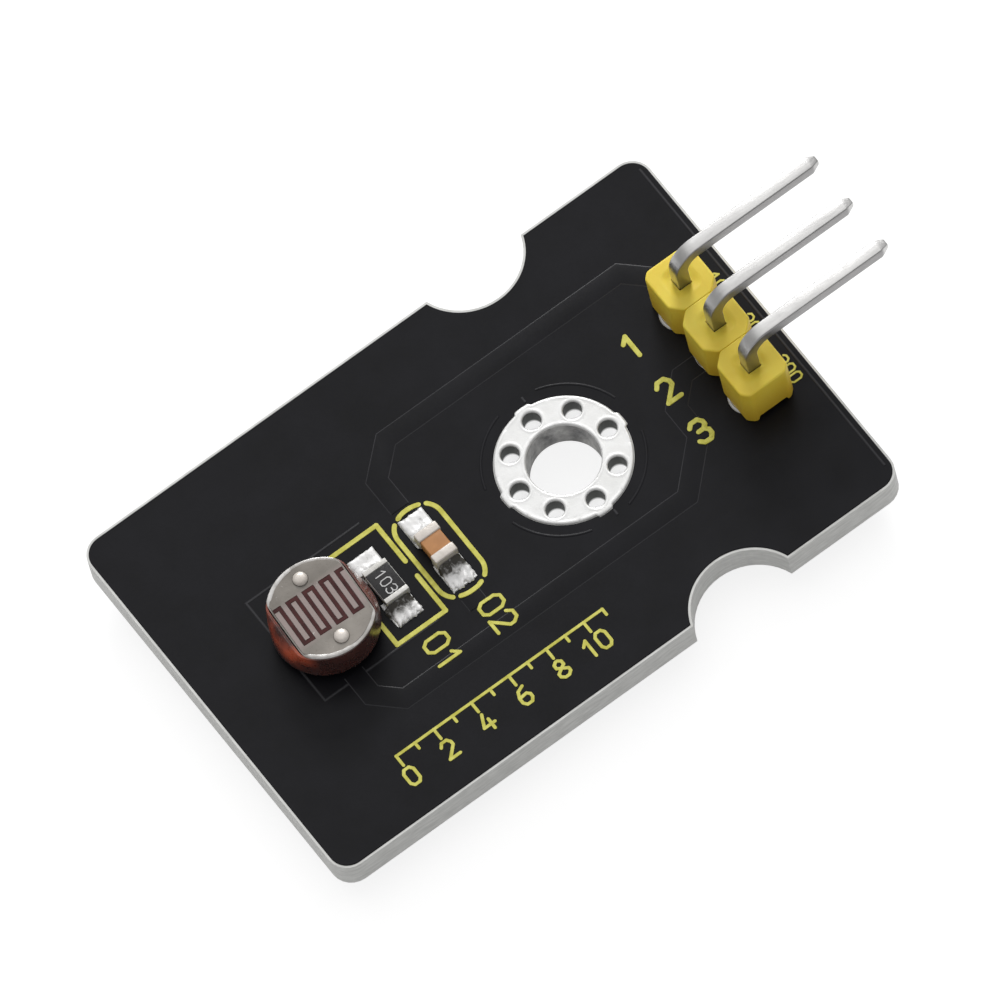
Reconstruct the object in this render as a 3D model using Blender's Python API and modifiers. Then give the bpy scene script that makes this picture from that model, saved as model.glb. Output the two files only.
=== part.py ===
"""Photocell sensor module, modelled piece by piece as it is made and assembled.

A black two-sided circuit board carries a light-dependent resistor at one end, a
chip resistor and a chip capacitor beside it, a plated fixing hole, and a moulded
three-way header at the other end, whose square pins are bent over the short edge.

Frame: +X runs along the board from the photocell to the pin tips, +Z is up
through the board. The origin is in the middle of the whole module's length and
width, on the surface that the soldered tails stand on. Lengths are in metres.
"""

import math

import bmesh
import bpy
from mathutils import Matrix, Vector

MM = 0.001

# Clearance between neighbouring pieces, the distance for welding vertices, and how
# far a cutter runs past the face that it opens
FIT_GAP = 0.02 * MM
WELD_DISTANCE = 0.0005 * MM
CUT_OVERRUN = 1.0 * MM

# Circuit board
BOARD_LENGTH = 30.0 * MM
BOARD_WIDTH = 19.7 * MM
BOARD_THICKNESS = 1.6 * MM
BOARD_CORNER_RADIUS = 1.0 * MM
NOTCH_RADIUS = 2.66 * MM
NOTCH_DEPTH = 1.82 * MM
NOTCH_FROM_HEADER_EDGE = 8.76 * MM

# Copper on the board: lands on both faces and the plating in the holes
LAND_THICKNESS = 0.05 * MM
PLATING_WALL = 0.05 * MM

# Plated fixing hole with its ring of stitching vias
FIXING_HOLE_DIAMETER = 3.3 * MM
FIXING_HOLE_FROM_HEADER_EDGE = 11.06 * MM
FIXING_LAND_DIAMETER = 6.1 * MM
SPOKE_COUNT = 4
SPOKE_WIDTH = 0.65 * MM
SPOKE_REACH = 0.12 * MM
VIA_COUNT = 8
VIA_DIAMETER = 0.83 * MM
VIA_CIRCLE_DIAMETER = 4.72 * MM

# Header: moulded housing, square pins and their oval lands
PIN_COUNT = 3
PIN_PITCH = 2.54 * MM
PIN_WIDTH = 0.64 * MM
PIN_TAIL = 1.4 * MM
PIN_RISE = 4.7 * MM
PIN_BEND_RADIUS = 1.0 * MM
PIN_OVERHANG = 5.0 * MM
PIN_TIP_LENGTH = 0.45 * MM
PIN_TIP_TAPER = 0.5
HEADER_FROM_EDGE = 2.54 * MM
HOUSING_DEPTH = 2.5 * MM
HOUSING_HEIGHT = 2.6 * MM
HOUSING_CHAMFER = 0.36 * MM
HOUSING_END_CHAMFER = 0.3 * MM
HOUSING_NECK = 0.2 * MM
HOUSING_EDGE_RADIUS = 0.06 * MM
HOUSING_CHANNEL_WIDTH = 1.5 * MM
HOUSING_CHANNEL_HEIGHT = 0.25 * MM
SNAP_GROOVE_DEPTH = 0.06 * MM
PIN_DISH_WIDTH = 1.25 * MM
PIN_DISH_DEPTH = 0.14 * MM
HEADER_HOLE_DIAMETER = 1.1 * MM
HEADER_LAND_LENGTH = 2.74 * MM
HEADER_LAND_WIDTH = 1.72 * MM
HEADER_SOLDER_DIAMETER = 1.64 * MM
HEADER_SOLDER_HEIGHT = 0.95 * MM

# Photocell: ceramic chip with its comb electrodes in a tinted resin cup
RESISTOR_TO_CUP = 0.07 * MM
PHOTOCELL_STANDOFF = 0.12 * MM
CUP_DIAMETER = 4.84 * MM
CUP_SHOULDER_WIDTH = 3.98 * MM
CUP_SHOULDER_DROP = 1.0 * MM
CUP_HEIGHT = 2.05 * MM
CUP_FOOT_RADIUS = 0.5 * MM
CUP_LIP_RADIUS = 0.06 * MM
CHIP_DIAMETER = 4.64 * MM
CHIP_FLAT_WIDTH = 3.72 * MM
CHIP_THICKNESS = 0.9 * MM
CHIP_PROUD = 0.05 * MM
FILM_THICKNESS = 0.03 * MM
FILM_MARGIN = 0.07 * MM
TRACK_LEGS = 8
TRACK_PITCH = 0.42 * MM
TRACK_WIDTH = 0.16 * MM
TRACK_HEIGHT = 2.02 * MM
LEAD_SPACING = 3.3 * MM
LEAD_DIAMETER = 0.5 * MM
LEAD_HEAD_DIAMETER = 0.68 * MM
LEAD_HEAD_HEIGHT = 0.16 * MM
LEAD_HOLE_DIAMETER = 0.8 * MM
LEAD_LAND_DIAMETER = 1.6 * MM
LEAD_SOLDER_HEIGHT = 0.85 * MM

# Chip resistor, its length across the board
CAPACITOR_LAND_TO_RESISTOR_LAND = 1.51 * MM
RESISTOR_LENGTH = 1.84 * MM
RESISTOR_WIDTH = 1.22 * MM
RESISTOR_HEIGHT = 0.5 * MM
RESISTOR_END_LENGTH = 0.24 * MM
RESISTOR_END_WALL = 0.04 * MM
RESISTOR_COAT_THICKNESS = 0.035 * MM
RESISTOR_COAT_MARGIN = 0.03 * MM
RESISTOR_LAND_SPAN = 3.8 * MM
RESISTOR_LAND_GAP = 1.2 * MM
RESISTOR_LAND_WIDTH = 1.34 * MM
RESISTOR_SOLDER_RISE = 0.32 * MM

# Chip capacitor, its length across the board
FIXING_LAND_TO_CAPACITOR_LAND = 3.07 * MM
CAPACITOR_LENGTH = 1.73 * MM
CAPACITOR_WIDTH = 1.17 * MM
CAPACITOR_HEIGHT = 0.8 * MM
CAPACITOR_END_LENGTH = 0.46 * MM
CAPACITOR_END_WALL = 0.04 * MM
CAPACITOR_LAND_SPAN = 4.14 * MM
CAPACITOR_LAND_GAP = 1.1 * MM
CAPACITOR_LAND_WIDTH = 1.25 * MM
CAPACITOR_SOLDER_RISE = 0.5 * MM

# Chips: height of their solder film, rounding of their edges, solder margins
CHIP_SOLDER_FILM = 0.03 * MM
CHIP_EDGE_RADIUS = 0.05 * MM
SOLDER_MARGIN = 0.07 * MM
SOLDER_TOE = 0.05 * MM
SOLDER_EDGE_RADIUS = 0.02 * MM

# Facets round each kind of circle
FINE_SIDES = 64
HOLE_SIDES = 24
LAND_SIDES = 32
CORNER_STEPS = 6
NOTCH_STEPS = 20
BEND_STEPS = 8

# Places worked out from the sizes above
OVERALL_LENGTH = BOARD_LENGTH + PIN_OVERHANG
PHOTOCELL_EDGE_X = -OVERALL_LENGTH / 2
HEADER_EDGE_X = PHOTOCELL_EDGE_X + BOARD_LENGTH
BOARD_BOTTOM_Z = PIN_TAIL
BOARD_TOP_Z = BOARD_BOTTOM_Z + BOARD_THICKNESS
LAND_TOP_Z = BOARD_TOP_Z + FIT_GAP + LAND_THICKNESS
LAND_BOTTOM_Z = BOARD_BOTTOM_Z - FIT_GAP - LAND_THICKNESS
FIXING_X = HEADER_EDGE_X - FIXING_HOLE_FROM_HEADER_EDGE
NOTCH_X = HEADER_EDGE_X - NOTCH_FROM_HEADER_EDGE
HEADER_X = HEADER_EDGE_X - HEADER_FROM_EDGE
HEADER_SPAN = PIN_COUNT * PIN_PITCH
FIXING_LAND_EDGE_X = FIXING_X - FIXING_LAND_DIAMETER / 2
CAPACITOR_X = FIXING_LAND_EDGE_X - FIXING_LAND_TO_CAPACITOR_LAND - CAPACITOR_LAND_WIDTH / 2
CAPACITOR_LAND_EDGE_X = CAPACITOR_X - CAPACITOR_LAND_WIDTH / 2
RESISTOR_X = CAPACITOR_LAND_EDGE_X - CAPACITOR_LAND_TO_RESISTOR_LAND - RESISTOR_LAND_WIDTH / 2
PHOTOCELL_X = RESISTOR_X - RESISTOR_WIDTH / 2 - RESISTOR_TO_CUP - CUP_DIAMETER / 2
PIN_YS = [(PIN_COUNT - 1) / 2 * PIN_PITCH - index * PIN_PITCH for index in range(PIN_COUNT)]
LEAD_YS = [LEAD_SPACING / 2, -LEAD_SPACING / 2]
HOUSING_BOTTOM_Z = LAND_TOP_Z + FIT_GAP
HOUSING_TOP_Z = HOUSING_BOTTOM_Z + HOUSING_HEIGHT
PIN_AXIS_Z = BOARD_TOP_Z + PIN_RISE
CUP_BOTTOM_Z = BOARD_TOP_Z + PHOTOCELL_STANDOFF
CUP_TOP_Z = CUP_BOTTOM_Z + CUP_HEIGHT
CHIP_TOP_Z = CUP_TOP_Z + CHIP_PROUD
CHIP_BOTTOM_Z = CHIP_TOP_Z - CHIP_THICKNESS
FILM_BOTTOM_Z = CHIP_TOP_Z + FIT_GAP
FILM_TOP_Z = FILM_BOTTOM_Z + FILM_THICKNESS

for old_object in list(bpy.data.objects):
    bpy.data.objects.remove(old_object, do_unlink=True)

module = bpy.data.collections.new("photocell_sensor_module")
cutters = bpy.data.collections.new("cutters")
bpy.context.scene.collection.children.link(module)
bpy.context.scene.collection.children.link(cutters)


def make_material(name, colour, roughness, metallic=0.0, transmission=0.0):
    """A Principled material with one colour."""
    made = bpy.data.materials.new(name)
    made.use_nodes = True
    shader = made.node_tree.nodes["Principled BSDF"]
    shader.inputs["Base Color"].default_value = (*colour, 1.0)
    shader.inputs["Roughness"].default_value = roughness
    shader.inputs["Metallic"].default_value = metallic
    shader.inputs["Transmission Weight"].default_value = transmission
    return made


def shade_round(mesh):
    """Smooth shading that keeps real edges sharp."""
    mesh.shade_smooth()
    mesh.set_sharp_from_angle(angle=math.radians(32))


def add_piece(name, mesh, material):
    """A sub-part of the module with its own material."""
    piece = bpy.data.objects.new(name, mesh)
    mesh.materials.clear()
    mesh.materials.append(material)
    module.objects.link(piece)
    return piece


def add_cutter(name, mesh):
    """A hidden shape that only cuts or joins others."""
    cutter = bpy.data.objects.new(name, mesh)
    cutter.hide_render = True
    cutter.display_type = "WIRE"
    cutters.objects.link(cutter)
    return cutter


def combine(piece, other, operation):
    """A live exact Boolean of piece with a shape from the cutters' collection."""
    modifier = piece.modifiers.new(f"{operation.lower()}_{other.name}", "BOOLEAN")
    modifier.operation = operation
    modifier.solver = "EXACT"
    modifier.object = other


def cut_together(piece, shapes):
    """One live exact Boolean that takes several shapes, which may cross, out of piece."""
    group = bpy.data.collections.new(f"{piece.name}_cutters")
    cutters.children.link(group)
    for shape in shapes:
        cutters.objects.unlink(shape)
        group.objects.link(shape)
    modifier = piece.modifiers.new("openings", "BOOLEAN")
    modifier.operation = "DIFFERENCE"
    modifier.solver = "EXACT"
    modifier.operand_type = "COLLECTION"
    modifier.collection = group


def round_edges(piece, width, segments, angle=math.radians(40)):
    """A small bevel on every real edge of a piece."""
    modifier = piece.modifiers.new("edges", "BEVEL")
    modifier.width = width
    modifier.segments = segments
    modifier.limit_method = "ANGLE"
    modifier.angle_limit = angle
    modifier.harden_normals = False


def curve_to_mesh(curve_object, name):
    """The evaluated mesh of a curve, with its loose caps welded on."""
    bpy.context.view_layer.update()
    evaluated = curve_object.evaluated_get(bpy.context.evaluated_depsgraph_get())
    mesh = bpy.data.meshes.new_from_object(evaluated)
    mesh.name = name
    mesh.transform(curve_object.matrix_world)
    welded = bmesh.new()
    welded.from_mesh(mesh)
    bmesh.ops.remove_doubles(welded, verts=welded.verts, dist=WELD_DISTANCE)
    bmesh.ops.recalc_face_normals(welded, faces=welded.faces)
    welded.to_mesh(mesh)
    welded.free()
    curve_data = curve_object.data
    bpy.data.objects.remove(curve_object, do_unlink=True)
    bpy.data.curves.remove(curve_data)
    return mesh


def flat_mesh(name, loops, bottom_z, height):
    """A plate cut to closed loops of (x, y) points; inner loops are its holes."""
    curve = bpy.data.curves.new(name, "CURVE")
    curve.dimensions = "2D"
    curve.fill_mode = "BOTH"
    curve.extrude = height / 2
    for loop in loops:
        spline = curve.splines.new("POLY")
        spline.points.add(len(loop) - 1)
        for point, (x, y) in zip(spline.points, loop):
            point.co = (x, y, 0.0, 1.0)
        spline.use_cyclic_u = True
    curve_object = bpy.data.objects.new(name, curve)
    curve_object.location.z = bottom_z + height / 2
    cutters.objects.link(curve_object)
    mesh = curve_to_mesh(curve_object, name)
    if len(loops) == 1:
        make_caps_whole(mesh)
    shade_round(mesh)
    return mesh


def make_caps_whole(mesh):
    """Join the triangles of each flat cap into one face."""
    shape = bmesh.new()
    shape.from_mesh(mesh)
    inner = [edge for edge in shape.edges if edge.calc_face_angle(1.0) < math.radians(0.5)]
    bmesh.ops.dissolve_edges(shape, edges=inner, use_verts=False)
    shape.to_mesh(mesh)
    shape.free()


def upright_mesh(name, loop, centre, width, facing):
    """An outline of (along, up) points carried across X; along runs to facing times Y."""
    mesh = flat_mesh(name, [loop], -width / 2, width)
    turn = Matrix(((0, 0, facing, 0), (facing, 0, 0, 0), (0, 1, 0, 0), (0, 0, 0, 1)))
    mesh.transform(Matrix.Translation(centre) @ turn)
    return mesh


def box_mesh(name, size, centre):
    """A box of the given size about its centre."""
    mesh = bpy.data.meshes.new(name)
    shape = bmesh.new()
    bmesh.ops.create_cube(shape, size=1.0)
    bmesh.ops.scale(shape, vec=size, verts=shape.verts)
    bmesh.ops.translate(shape, vec=centre, verts=shape.verts)
    shape.to_mesh(mesh)
    shape.free()
    return mesh


def rod_mesh(name, diameter, low, high, x=0.0, y=0.0, sides=HOLE_SIDES):
    """An upright cylinder between two heights."""
    mesh = bpy.data.meshes.new(name)
    shape = bmesh.new()
    bmesh.ops.create_cone(
        shape,
        cap_ends=True,
        segments=sides,
        radius1=diameter / 2,
        radius2=diameter / 2,
        depth=high - low,
        matrix=Matrix.Translation((x, y, (low + high) / 2)),
    )
    shape.to_mesh(mesh)
    shape.free()
    shade_round(mesh)
    return mesh


def turned_piece(name, profile, material, place, sides):
    """A Screw of (radius, height) points, which run down the outer side."""
    mesh = bpy.data.meshes.new(name)
    shape = bmesh.new()
    verts = [shape.verts.new((radius, 0.0, height)) for radius, height in profile]
    for start, end in zip(verts, verts[1:]):
        shape.edges.new((start, end))
    if profile[0][0] > 0.0:
        shape.edges.new((verts[-1], verts[0]))
    shape.to_mesh(mesh)
    shape.free()
    piece = add_piece(name, mesh, material)
    piece.location = place
    screw = piece.modifiers.new("turn", "SCREW")
    screw.steps = sides
    screw.render_steps = sides
    screw.use_merge_vertices = True
    screw.merge_threshold = WELD_DISTANCE
    screw.use_smooth_shade = True
    return piece


def arc(centre, radius, start, sweep, steps):
    """Points along an arc, both ends included; angles in radians."""
    angles = [start + sweep * step / steps for step in range(steps + 1)]
    return [
        (centre[0] + radius * math.cos(angle), centre[1] + radius * math.sin(angle))
        for angle in angles
    ]


def circle(diameter, x=0.0, y=0.0, sides=HOLE_SIDES):
    """Points round a whole circle."""
    return arc((x, y), diameter / 2, 0.0, 2 * math.pi, sides)[:-1]


def racetrack(length, width, x, y, sides=HOLE_SIDES):
    """An oval land: two half circles joined by straights, its length along X."""
    run = (length - width) / 2
    right = arc((x + run, y), width / 2, -math.pi / 2, math.pi, sides // 2)
    left = arc((x - run, y), width / 2, math.pi / 2, math.pi, sides // 2)
    return right + left


def flatted_circle(diameter, flat_width, x, sides):
    """A circle about (x, 0) with two flats that face +X and -X."""
    reach = math.acos(flat_width / diameter)
    upper = arc((x, 0.0), diameter / 2, reach, math.pi - 2 * reach, sides // 2)
    lower = arc((x, 0.0), diameter / 2, math.pi + reach, math.pi - 2 * reach, sides // 2)
    return upper + lower


def via_places():
    """Centres of the stitching vias round the fixing hole."""
    angles = [2 * math.pi * index / VIA_COUNT for index in range(VIA_COUNT)]
    reach = VIA_CIRCLE_DIAMETER / 2
    return [(FIXING_X + reach * math.cos(angle), reach * math.sin(angle)) for angle in angles]


def drilled_diameter(finished_diameter):
    """The bare hole in the laminate that takes a plated barrel."""
    return finished_diameter + 2 * (PLATING_WALL + FIT_GAP)


def notch_arc(side):
    """The half-round bite in one long edge; side is +1 for +Y, -1 for -Y."""
    offset = NOTCH_RADIUS - NOTCH_DEPTH
    lean = math.asin(offset / NOTCH_RADIUS)
    centre = (NOTCH_X, side * (BOARD_WIDTH / 2 + offset))
    start = -lean if side > 0 else math.pi - lean
    return arc(centre, NOTCH_RADIUS, start, -(math.pi - 2 * lean), NOTCH_STEPS)


def board_outline():
    """The routed outline, anticlockwise from the lower corner at the photocell."""
    radius = BOARD_CORNER_RADIUS
    left = PHOTOCELL_EDGE_X + radius
    right = HEADER_EDGE_X - radius
    low = -BOARD_WIDTH / 2 + radius
    high = BOARD_WIDTH / 2 - radius
    quarter = math.pi / 2
    outline = arc((left, low), radius, math.pi, quarter, CORNER_STEPS)
    outline += notch_arc(-1)
    outline += arc((right, low), radius, -quarter, quarter, CORNER_STEPS)
    outline += arc((right, high), radius, 0.0, quarter, CORNER_STEPS)
    outline += notch_arc(1)
    outline += arc((left, high), radius, quarter, quarter, CORNER_STEPS)
    return outline


def make_board():
    """The laminate with every hole drilled for its plating."""
    holes = [circle(drilled_diameter(FIXING_HOLE_DIAMETER), FIXING_X, 0.0, FINE_SIDES)]
    for x, y in via_places():
        holes.append(circle(drilled_diameter(VIA_DIAMETER), x, y))
    for y in PIN_YS:
        holes.append(circle(drilled_diameter(HEADER_HOLE_DIAMETER), HEADER_X, y))
    for y in LEAD_YS:
        holes.append(circle(drilled_diameter(LEAD_HOLE_DIAMETER), PHOTOCELL_X, y))
    mask = make_material("black_solder_mask", (0.017, 0.017, 0.02), 0.35)
    mesh = flat_mesh("circuit_board", [board_outline()] + holes, BOARD_BOTTOM_Z, BOARD_THICKNESS)
    add_piece("circuit_board", mesh, mask)


def spoked_ring():
    """The fixing land's rim, with a short square spoke end at each quarter."""
    radius = FIXING_LAND_DIAMETER / 2
    half_angle = math.asin(SPOKE_WIDTH / 2 / radius)
    quarter = 2 * math.pi / SPOKE_COUNT
    steps = FINE_SIDES // SPOKE_COUNT
    outline = []
    for index in range(SPOKE_COUNT):
        middle = index * quarter
        along = Vector((math.cos(middle), math.sin(middle)))
        across = Vector((-math.sin(middle), math.cos(middle)))
        centre = Vector((FIXING_X, 0.0))
        for edge in (-1, 1):
            corner = centre + along * (radius + SPOKE_REACH) + across * (edge * SPOKE_WIDTH / 2)
            outline.append((corner.x, corner.y))
        outline += arc(centre, radius, middle + half_angle, quarter - 2 * half_angle, steps)
    return outline


def plated_hole(name, material, land_loop, holes, sides):
    """Lands on both faces joined by a barrel in each hole; holes are (x, y, diameter)."""
    bores = []
    barrels = []
    for index, (x, y, diameter) in enumerate(holes):
        count = sides if index == 0 else HOLE_SIDES
        bores.append(circle(diameter, x, y, count))
        barrels.append(circle(diameter + 2 * PLATING_WALL, x, y, count))
    height = LAND_TOP_Z - LAND_BOTTOM_Z
    piece = add_piece(name, flat_mesh(name, [land_loop] + bores, LAND_BOTTOM_Z, height), material)
    waist_loop = circle(4 * FIXING_LAND_DIAMETER, holes[0][0], holes[0][1])
    waist_name = f"{name}_waist"
    waist_low = LAND_BOTTOM_Z + LAND_THICKNESS
    waist = flat_mesh(waist_name, [waist_loop] + barrels, waist_low, height - 2 * LAND_THICKNESS)
    combine(piece, add_cutter(waist_name, waist), "DIFFERENCE")
    return piece


def merge_meshes(name, meshes):
    """Several shapes that stand clear of each other, as one mesh."""
    gathered = bmesh.new()
    for mesh in meshes:
        gathered.from_mesh(mesh)
        bpy.data.meshes.remove(mesh)
    merged = bpy.data.meshes.new(name)
    gathered.to_mesh(merged)
    gathered.free()
    return merged


def make_fixing_hole():
    """The tinned fixing land on both faces, its bore and its eight vias."""
    tinned = make_material("tinned_fixing_land", (0.8, 0.8, 0.8), 0.35, 1.0)
    holes = [(FIXING_X, 0.0, FIXING_HOLE_DIAMETER)]
    holes += [(x, y, VIA_DIAMETER) for x, y in via_places()]
    plated_hole("fixing_hole_plating", tinned, spoked_ring(), holes, FINE_SIDES)


def housing_outline():
    """Plan of the header body: cells with cut corners, joined at narrow necks."""
    half = HOUSING_DEPTH / 2
    neck = half - HOUSING_CHAMFER
    side = []
    for index in range(PIN_COUNT):
        start = -HEADER_SPAN / 2 + index * PIN_PITCH
        end = start + PIN_PITCH
        if index == 0:
            side.append((half - HOUSING_END_CHAMFER, start))
            side.append((half, start + HOUSING_END_CHAMFER))
        else:
            side.append((neck, start + HOUSING_NECK / 2))
            side.append((half, start + HOUSING_NECK / 2 + HOUSING_CHAMFER))
        if index == PIN_COUNT - 1:
            side.append((half, end - HOUSING_END_CHAMFER))
            side.append((half - HOUSING_END_CHAMFER, end))
        else:
            side.append((half, end - HOUSING_NECK / 2 - HOUSING_CHAMFER))
            side.append((neck, end - HOUSING_NECK / 2))
    return side + [(-x, y) for x, y in reversed(side)]


def snap_groove_mesh(y):
    """A shallow V across the neck between two cells."""
    half = HOUSING_NECK / 2
    loop = [(-half, FIT_GAP), (0.0, -SNAP_GROOVE_DEPTH), (half, FIT_GAP)]
    return upright_mesh("groove", loop, (0.0, y, HOUSING_HEIGHT), HOUSING_DEPTH, 1)


def pin_dish_mesh(y):
    """The shallow square dish that the mould leaves round a pin."""
    mesh = bpy.data.meshes.new("dish")
    shape = bmesh.new()
    spread = math.sqrt(2) / 2
    floor = PIN_WIDTH + 4 * FIT_GAP
    slope = (PIN_DISH_WIDTH - floor) / PIN_DISH_DEPTH
    depth = PIN_DISH_DEPTH + FIT_GAP
    bmesh.ops.create_cone(
        shape,
        cap_ends=True,
        segments=4,
        radius1=floor * spread,
        radius2=(floor + slope * depth) * spread,
        depth=depth,
        matrix=Matrix.Translation((0.0, y, HOUSING_HEIGHT - PIN_DISH_DEPTH + depth / 2))
        @ Matrix.Rotation(math.pi / 4, 4, "Z"),
    )
    shape.to_mesh(mesh)
    shape.free()
    return mesh


def make_housing():
    """The moulded yellow body: necks, snap grooves, foot rails and pin holes."""
    nylon = make_material("yellow_header_nylon", (0.72, 0.52, 0.06), 0.45)
    seat = (HEADER_X, 0.0, HOUSING_BOTTOM_Z)
    mesh = flat_mesh("header_housing", [housing_outline()], 0.0, HOUSING_HEIGHT)
    housing = add_piece("header_housing", mesh, nylon)
    housing.location = seat
    round_edges(housing, HOUSING_EDGE_RADIUS, 2)
    channel_size = (
        HOUSING_CHANNEL_WIDTH,
        HEADER_SPAN + 2 * CUT_OVERRUN,
        2 * HOUSING_CHANNEL_HEIGHT,
    )
    openings = [box_mesh("header_channel", channel_size, (0.0, 0.0, 0.0))]
    pin_hole = PIN_WIDTH + 2 * FIT_GAP
    hole_size = (pin_hole, pin_hole, HOUSING_HEIGHT + 2 * CUT_OVERRUN)
    for y in PIN_YS:
        openings.append(box_mesh("pin_hole", hole_size, (0.0, y, HOUSING_HEIGHT / 2)))
        openings.append(pin_dish_mesh(y))
    for first, second in zip(PIN_YS, PIN_YS[1:]):
        openings.append(snap_groove_mesh((first + second) / 2))
    shapes = [add_cutter(mesh.name, mesh) for mesh in openings]
    for shape in shapes:
        shape.location = seat
    cut_together(housing, shapes)


def pin_path():
    """Centre line of a pin from its tail to its tip, as (x, z, share of full width)."""
    tip_x = OVERALL_LENGTH / 2
    bend_centre = (HEADER_X + PIN_BEND_RADIUS, PIN_AXIS_Z - PIN_BEND_RADIUS)
    bend = arc(bend_centre, PIN_BEND_RADIUS, math.pi, -math.pi / 2, BEND_STEPS)
    path = [(HEADER_X, 0.0, PIN_TIP_TAPER), (HEADER_X, PIN_TIP_LENGTH, 1.0)]
    path += [(x, z, 1.0) for x, z in bend]
    path += [(tip_x - PIN_TIP_LENGTH, PIN_AXIS_Z, 1.0), (tip_x, PIN_AXIS_Z, PIN_TIP_TAPER)]
    return path


def make_pins():
    """Square tinned pins, bent over the board's edge, with tapered ends."""
    tin = make_material("tinned_pin", (0.75, 0.74, 0.72), 0.28, 1.0)
    square = bpy.data.curves.new("pin_section", "CURVE")
    square.dimensions = "2D"
    spline = square.splines.new("POLY")
    spline.points.add(3)
    half = PIN_WIDTH / 2
    for point, (x, y) in zip(spline.points, ((-1, -1), (1, -1), (1, 1), (-1, 1))):
        point.co = (x * half, y * half, 0.0, 1.0)
    spline.use_cyclic_u = True
    section = add_cutter("pin_section", square)
    for index, y in enumerate(PIN_YS, start=1):
        name = f"header_pin_{index}"
        curve = bpy.data.curves.new(name, "CURVE")
        curve.dimensions = "3D"
        curve.twist_mode = "Z_UP"
        curve.bevel_mode = "OBJECT"
        curve.bevel_object = section
        curve.use_fill_caps = True
        path = pin_path()
        spline = curve.splines.new("POLY")
        spline.points.add(len(path) - 1)
        for point, (x, z, share) in zip(spline.points, path):
            point.co = (x, y, z, 1.0)
            point.radius = share
        spline.use_smooth = False
        curve_object = bpy.data.objects.new(name, curve)
        cutters.objects.link(curve_object)
        add_piece(name, curve_to_mesh(curve_object, name), tin)


def solder_profile(outer, inner, height, sleeve, bottom_z):
    """Half section of a joint below the board: a filled barrel and a hollow cone."""
    steps = 5
    reach = outer - inner
    flank = []
    for step in range(steps + 1):
        turn = math.pi / 2 * step / steps
        flank.append(
            (inner + reach * (1 - math.sin(turn)), bottom_z - height * (1 - math.cos(turn)))
        )
    return [(sleeve, LAND_TOP_Z), (sleeve, bottom_z)] + flank


def make_header_joints():
    """A plated oval land and a filled solder joint for each pin."""
    tinned = make_material("tinned_header_land", (0.82, 0.82, 0.8), 0.3, 1.0)
    solder = make_material("header_solder", (0.7, 0.7, 0.69), 0.25, 1.0)
    pin_hole = PIN_WIDTH + 2 * FIT_GAP
    bottom_z = LAND_BOTTOM_Z - FIT_GAP
    sleeve = HEADER_HOLE_DIAMETER / 2 - FIT_GAP
    inner = PIN_WIDTH / 2 * math.sqrt(2) + 4 * FIT_GAP
    profile = solder_profile(
        HEADER_SOLDER_DIAMETER / 2, inner, HEADER_SOLDER_HEIGHT, sleeve, bottom_z
    )
    low_z = bottom_z - HEADER_SOLDER_HEIGHT
    closed = [(0.0, LAND_TOP_Z)] + profile + [(0.0, low_z)]
    for index, y in enumerate(PIN_YS, start=1):
        land = racetrack(HEADER_LAND_LENGTH, HEADER_LAND_WIDTH, HEADER_X, y)
        hole = (HEADER_X, y, HEADER_HOLE_DIAMETER)
        plated_hole(f"header_pad_{index}", tinned, land, [hole], HOLE_SIDES)
        joint = turned_piece(
            f"header_solder_{index}", closed, solder, (HEADER_X, y, 0.0), HOLE_SIDES
        )
        size = (pin_hole, pin_hole, LAND_TOP_Z - low_z + 2 * CUT_OVERRUN)
        place = (HEADER_X, y, (LAND_TOP_Z + low_z) / 2)
        passage = add_cutter(f"solder_passage_{index}", box_mesh("passage", size, place))
        combine(joint, passage, "DIFFERENCE")


def track_centre_line():
    """The serpentine between the electrodes, from the -X flat to the +X flat."""
    reach = CUP_DIAMETER
    top = TRACK_HEIGHT / 2
    first = -(TRACK_LEGS - 1) / 2 * TRACK_PITCH
    line = [(-reach, top)]
    for leg in range(TRACK_LEGS):
        x = first + leg * TRACK_PITCH
        start = top if leg % 2 == 0 else -top
        line.append((x, start))
        line.append((x, -start))
    line.append((reach, line[-1][1]))
    return line


def shift_line(line, distance):
    """The same right-angled line moved to its left by a distance, corner for corner."""
    points = [Vector(point) for point in line]
    moved = [point.copy() for point in points]
    for index in range(len(points) - 1):
        run = (points[index + 1] - points[index]).normalized()
        aside = Vector((-run.y, run.x)) * distance
        moved[index] += aside
        moved[index + 1] += aside
    return [(point.x, point.y) for point in moved]


def film_region(line, far_y):
    """A closed loop between a shifted serpentine and a far line of constant y."""
    return [(PHOTOCELL_X + x, y) for x, y in line] + [
        (PHOTOCELL_X + line[-1][0], far_y),
        (PHOTOCELL_X + line[0][0], far_y),
    ]


def film_plate(name):
    """A film blank that covers the chip's face up to its margin."""
    outline = flatted_circle(
        CHIP_DIAMETER - 2 * FILM_MARGIN, CHIP_FLAT_WIDTH - 2 * FILM_MARGIN, PHOTOCELL_X, FINE_SIDES
    )
    return flat_mesh(name, [outline], FILM_BOTTOM_Z, FILM_THICKNESS)


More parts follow.
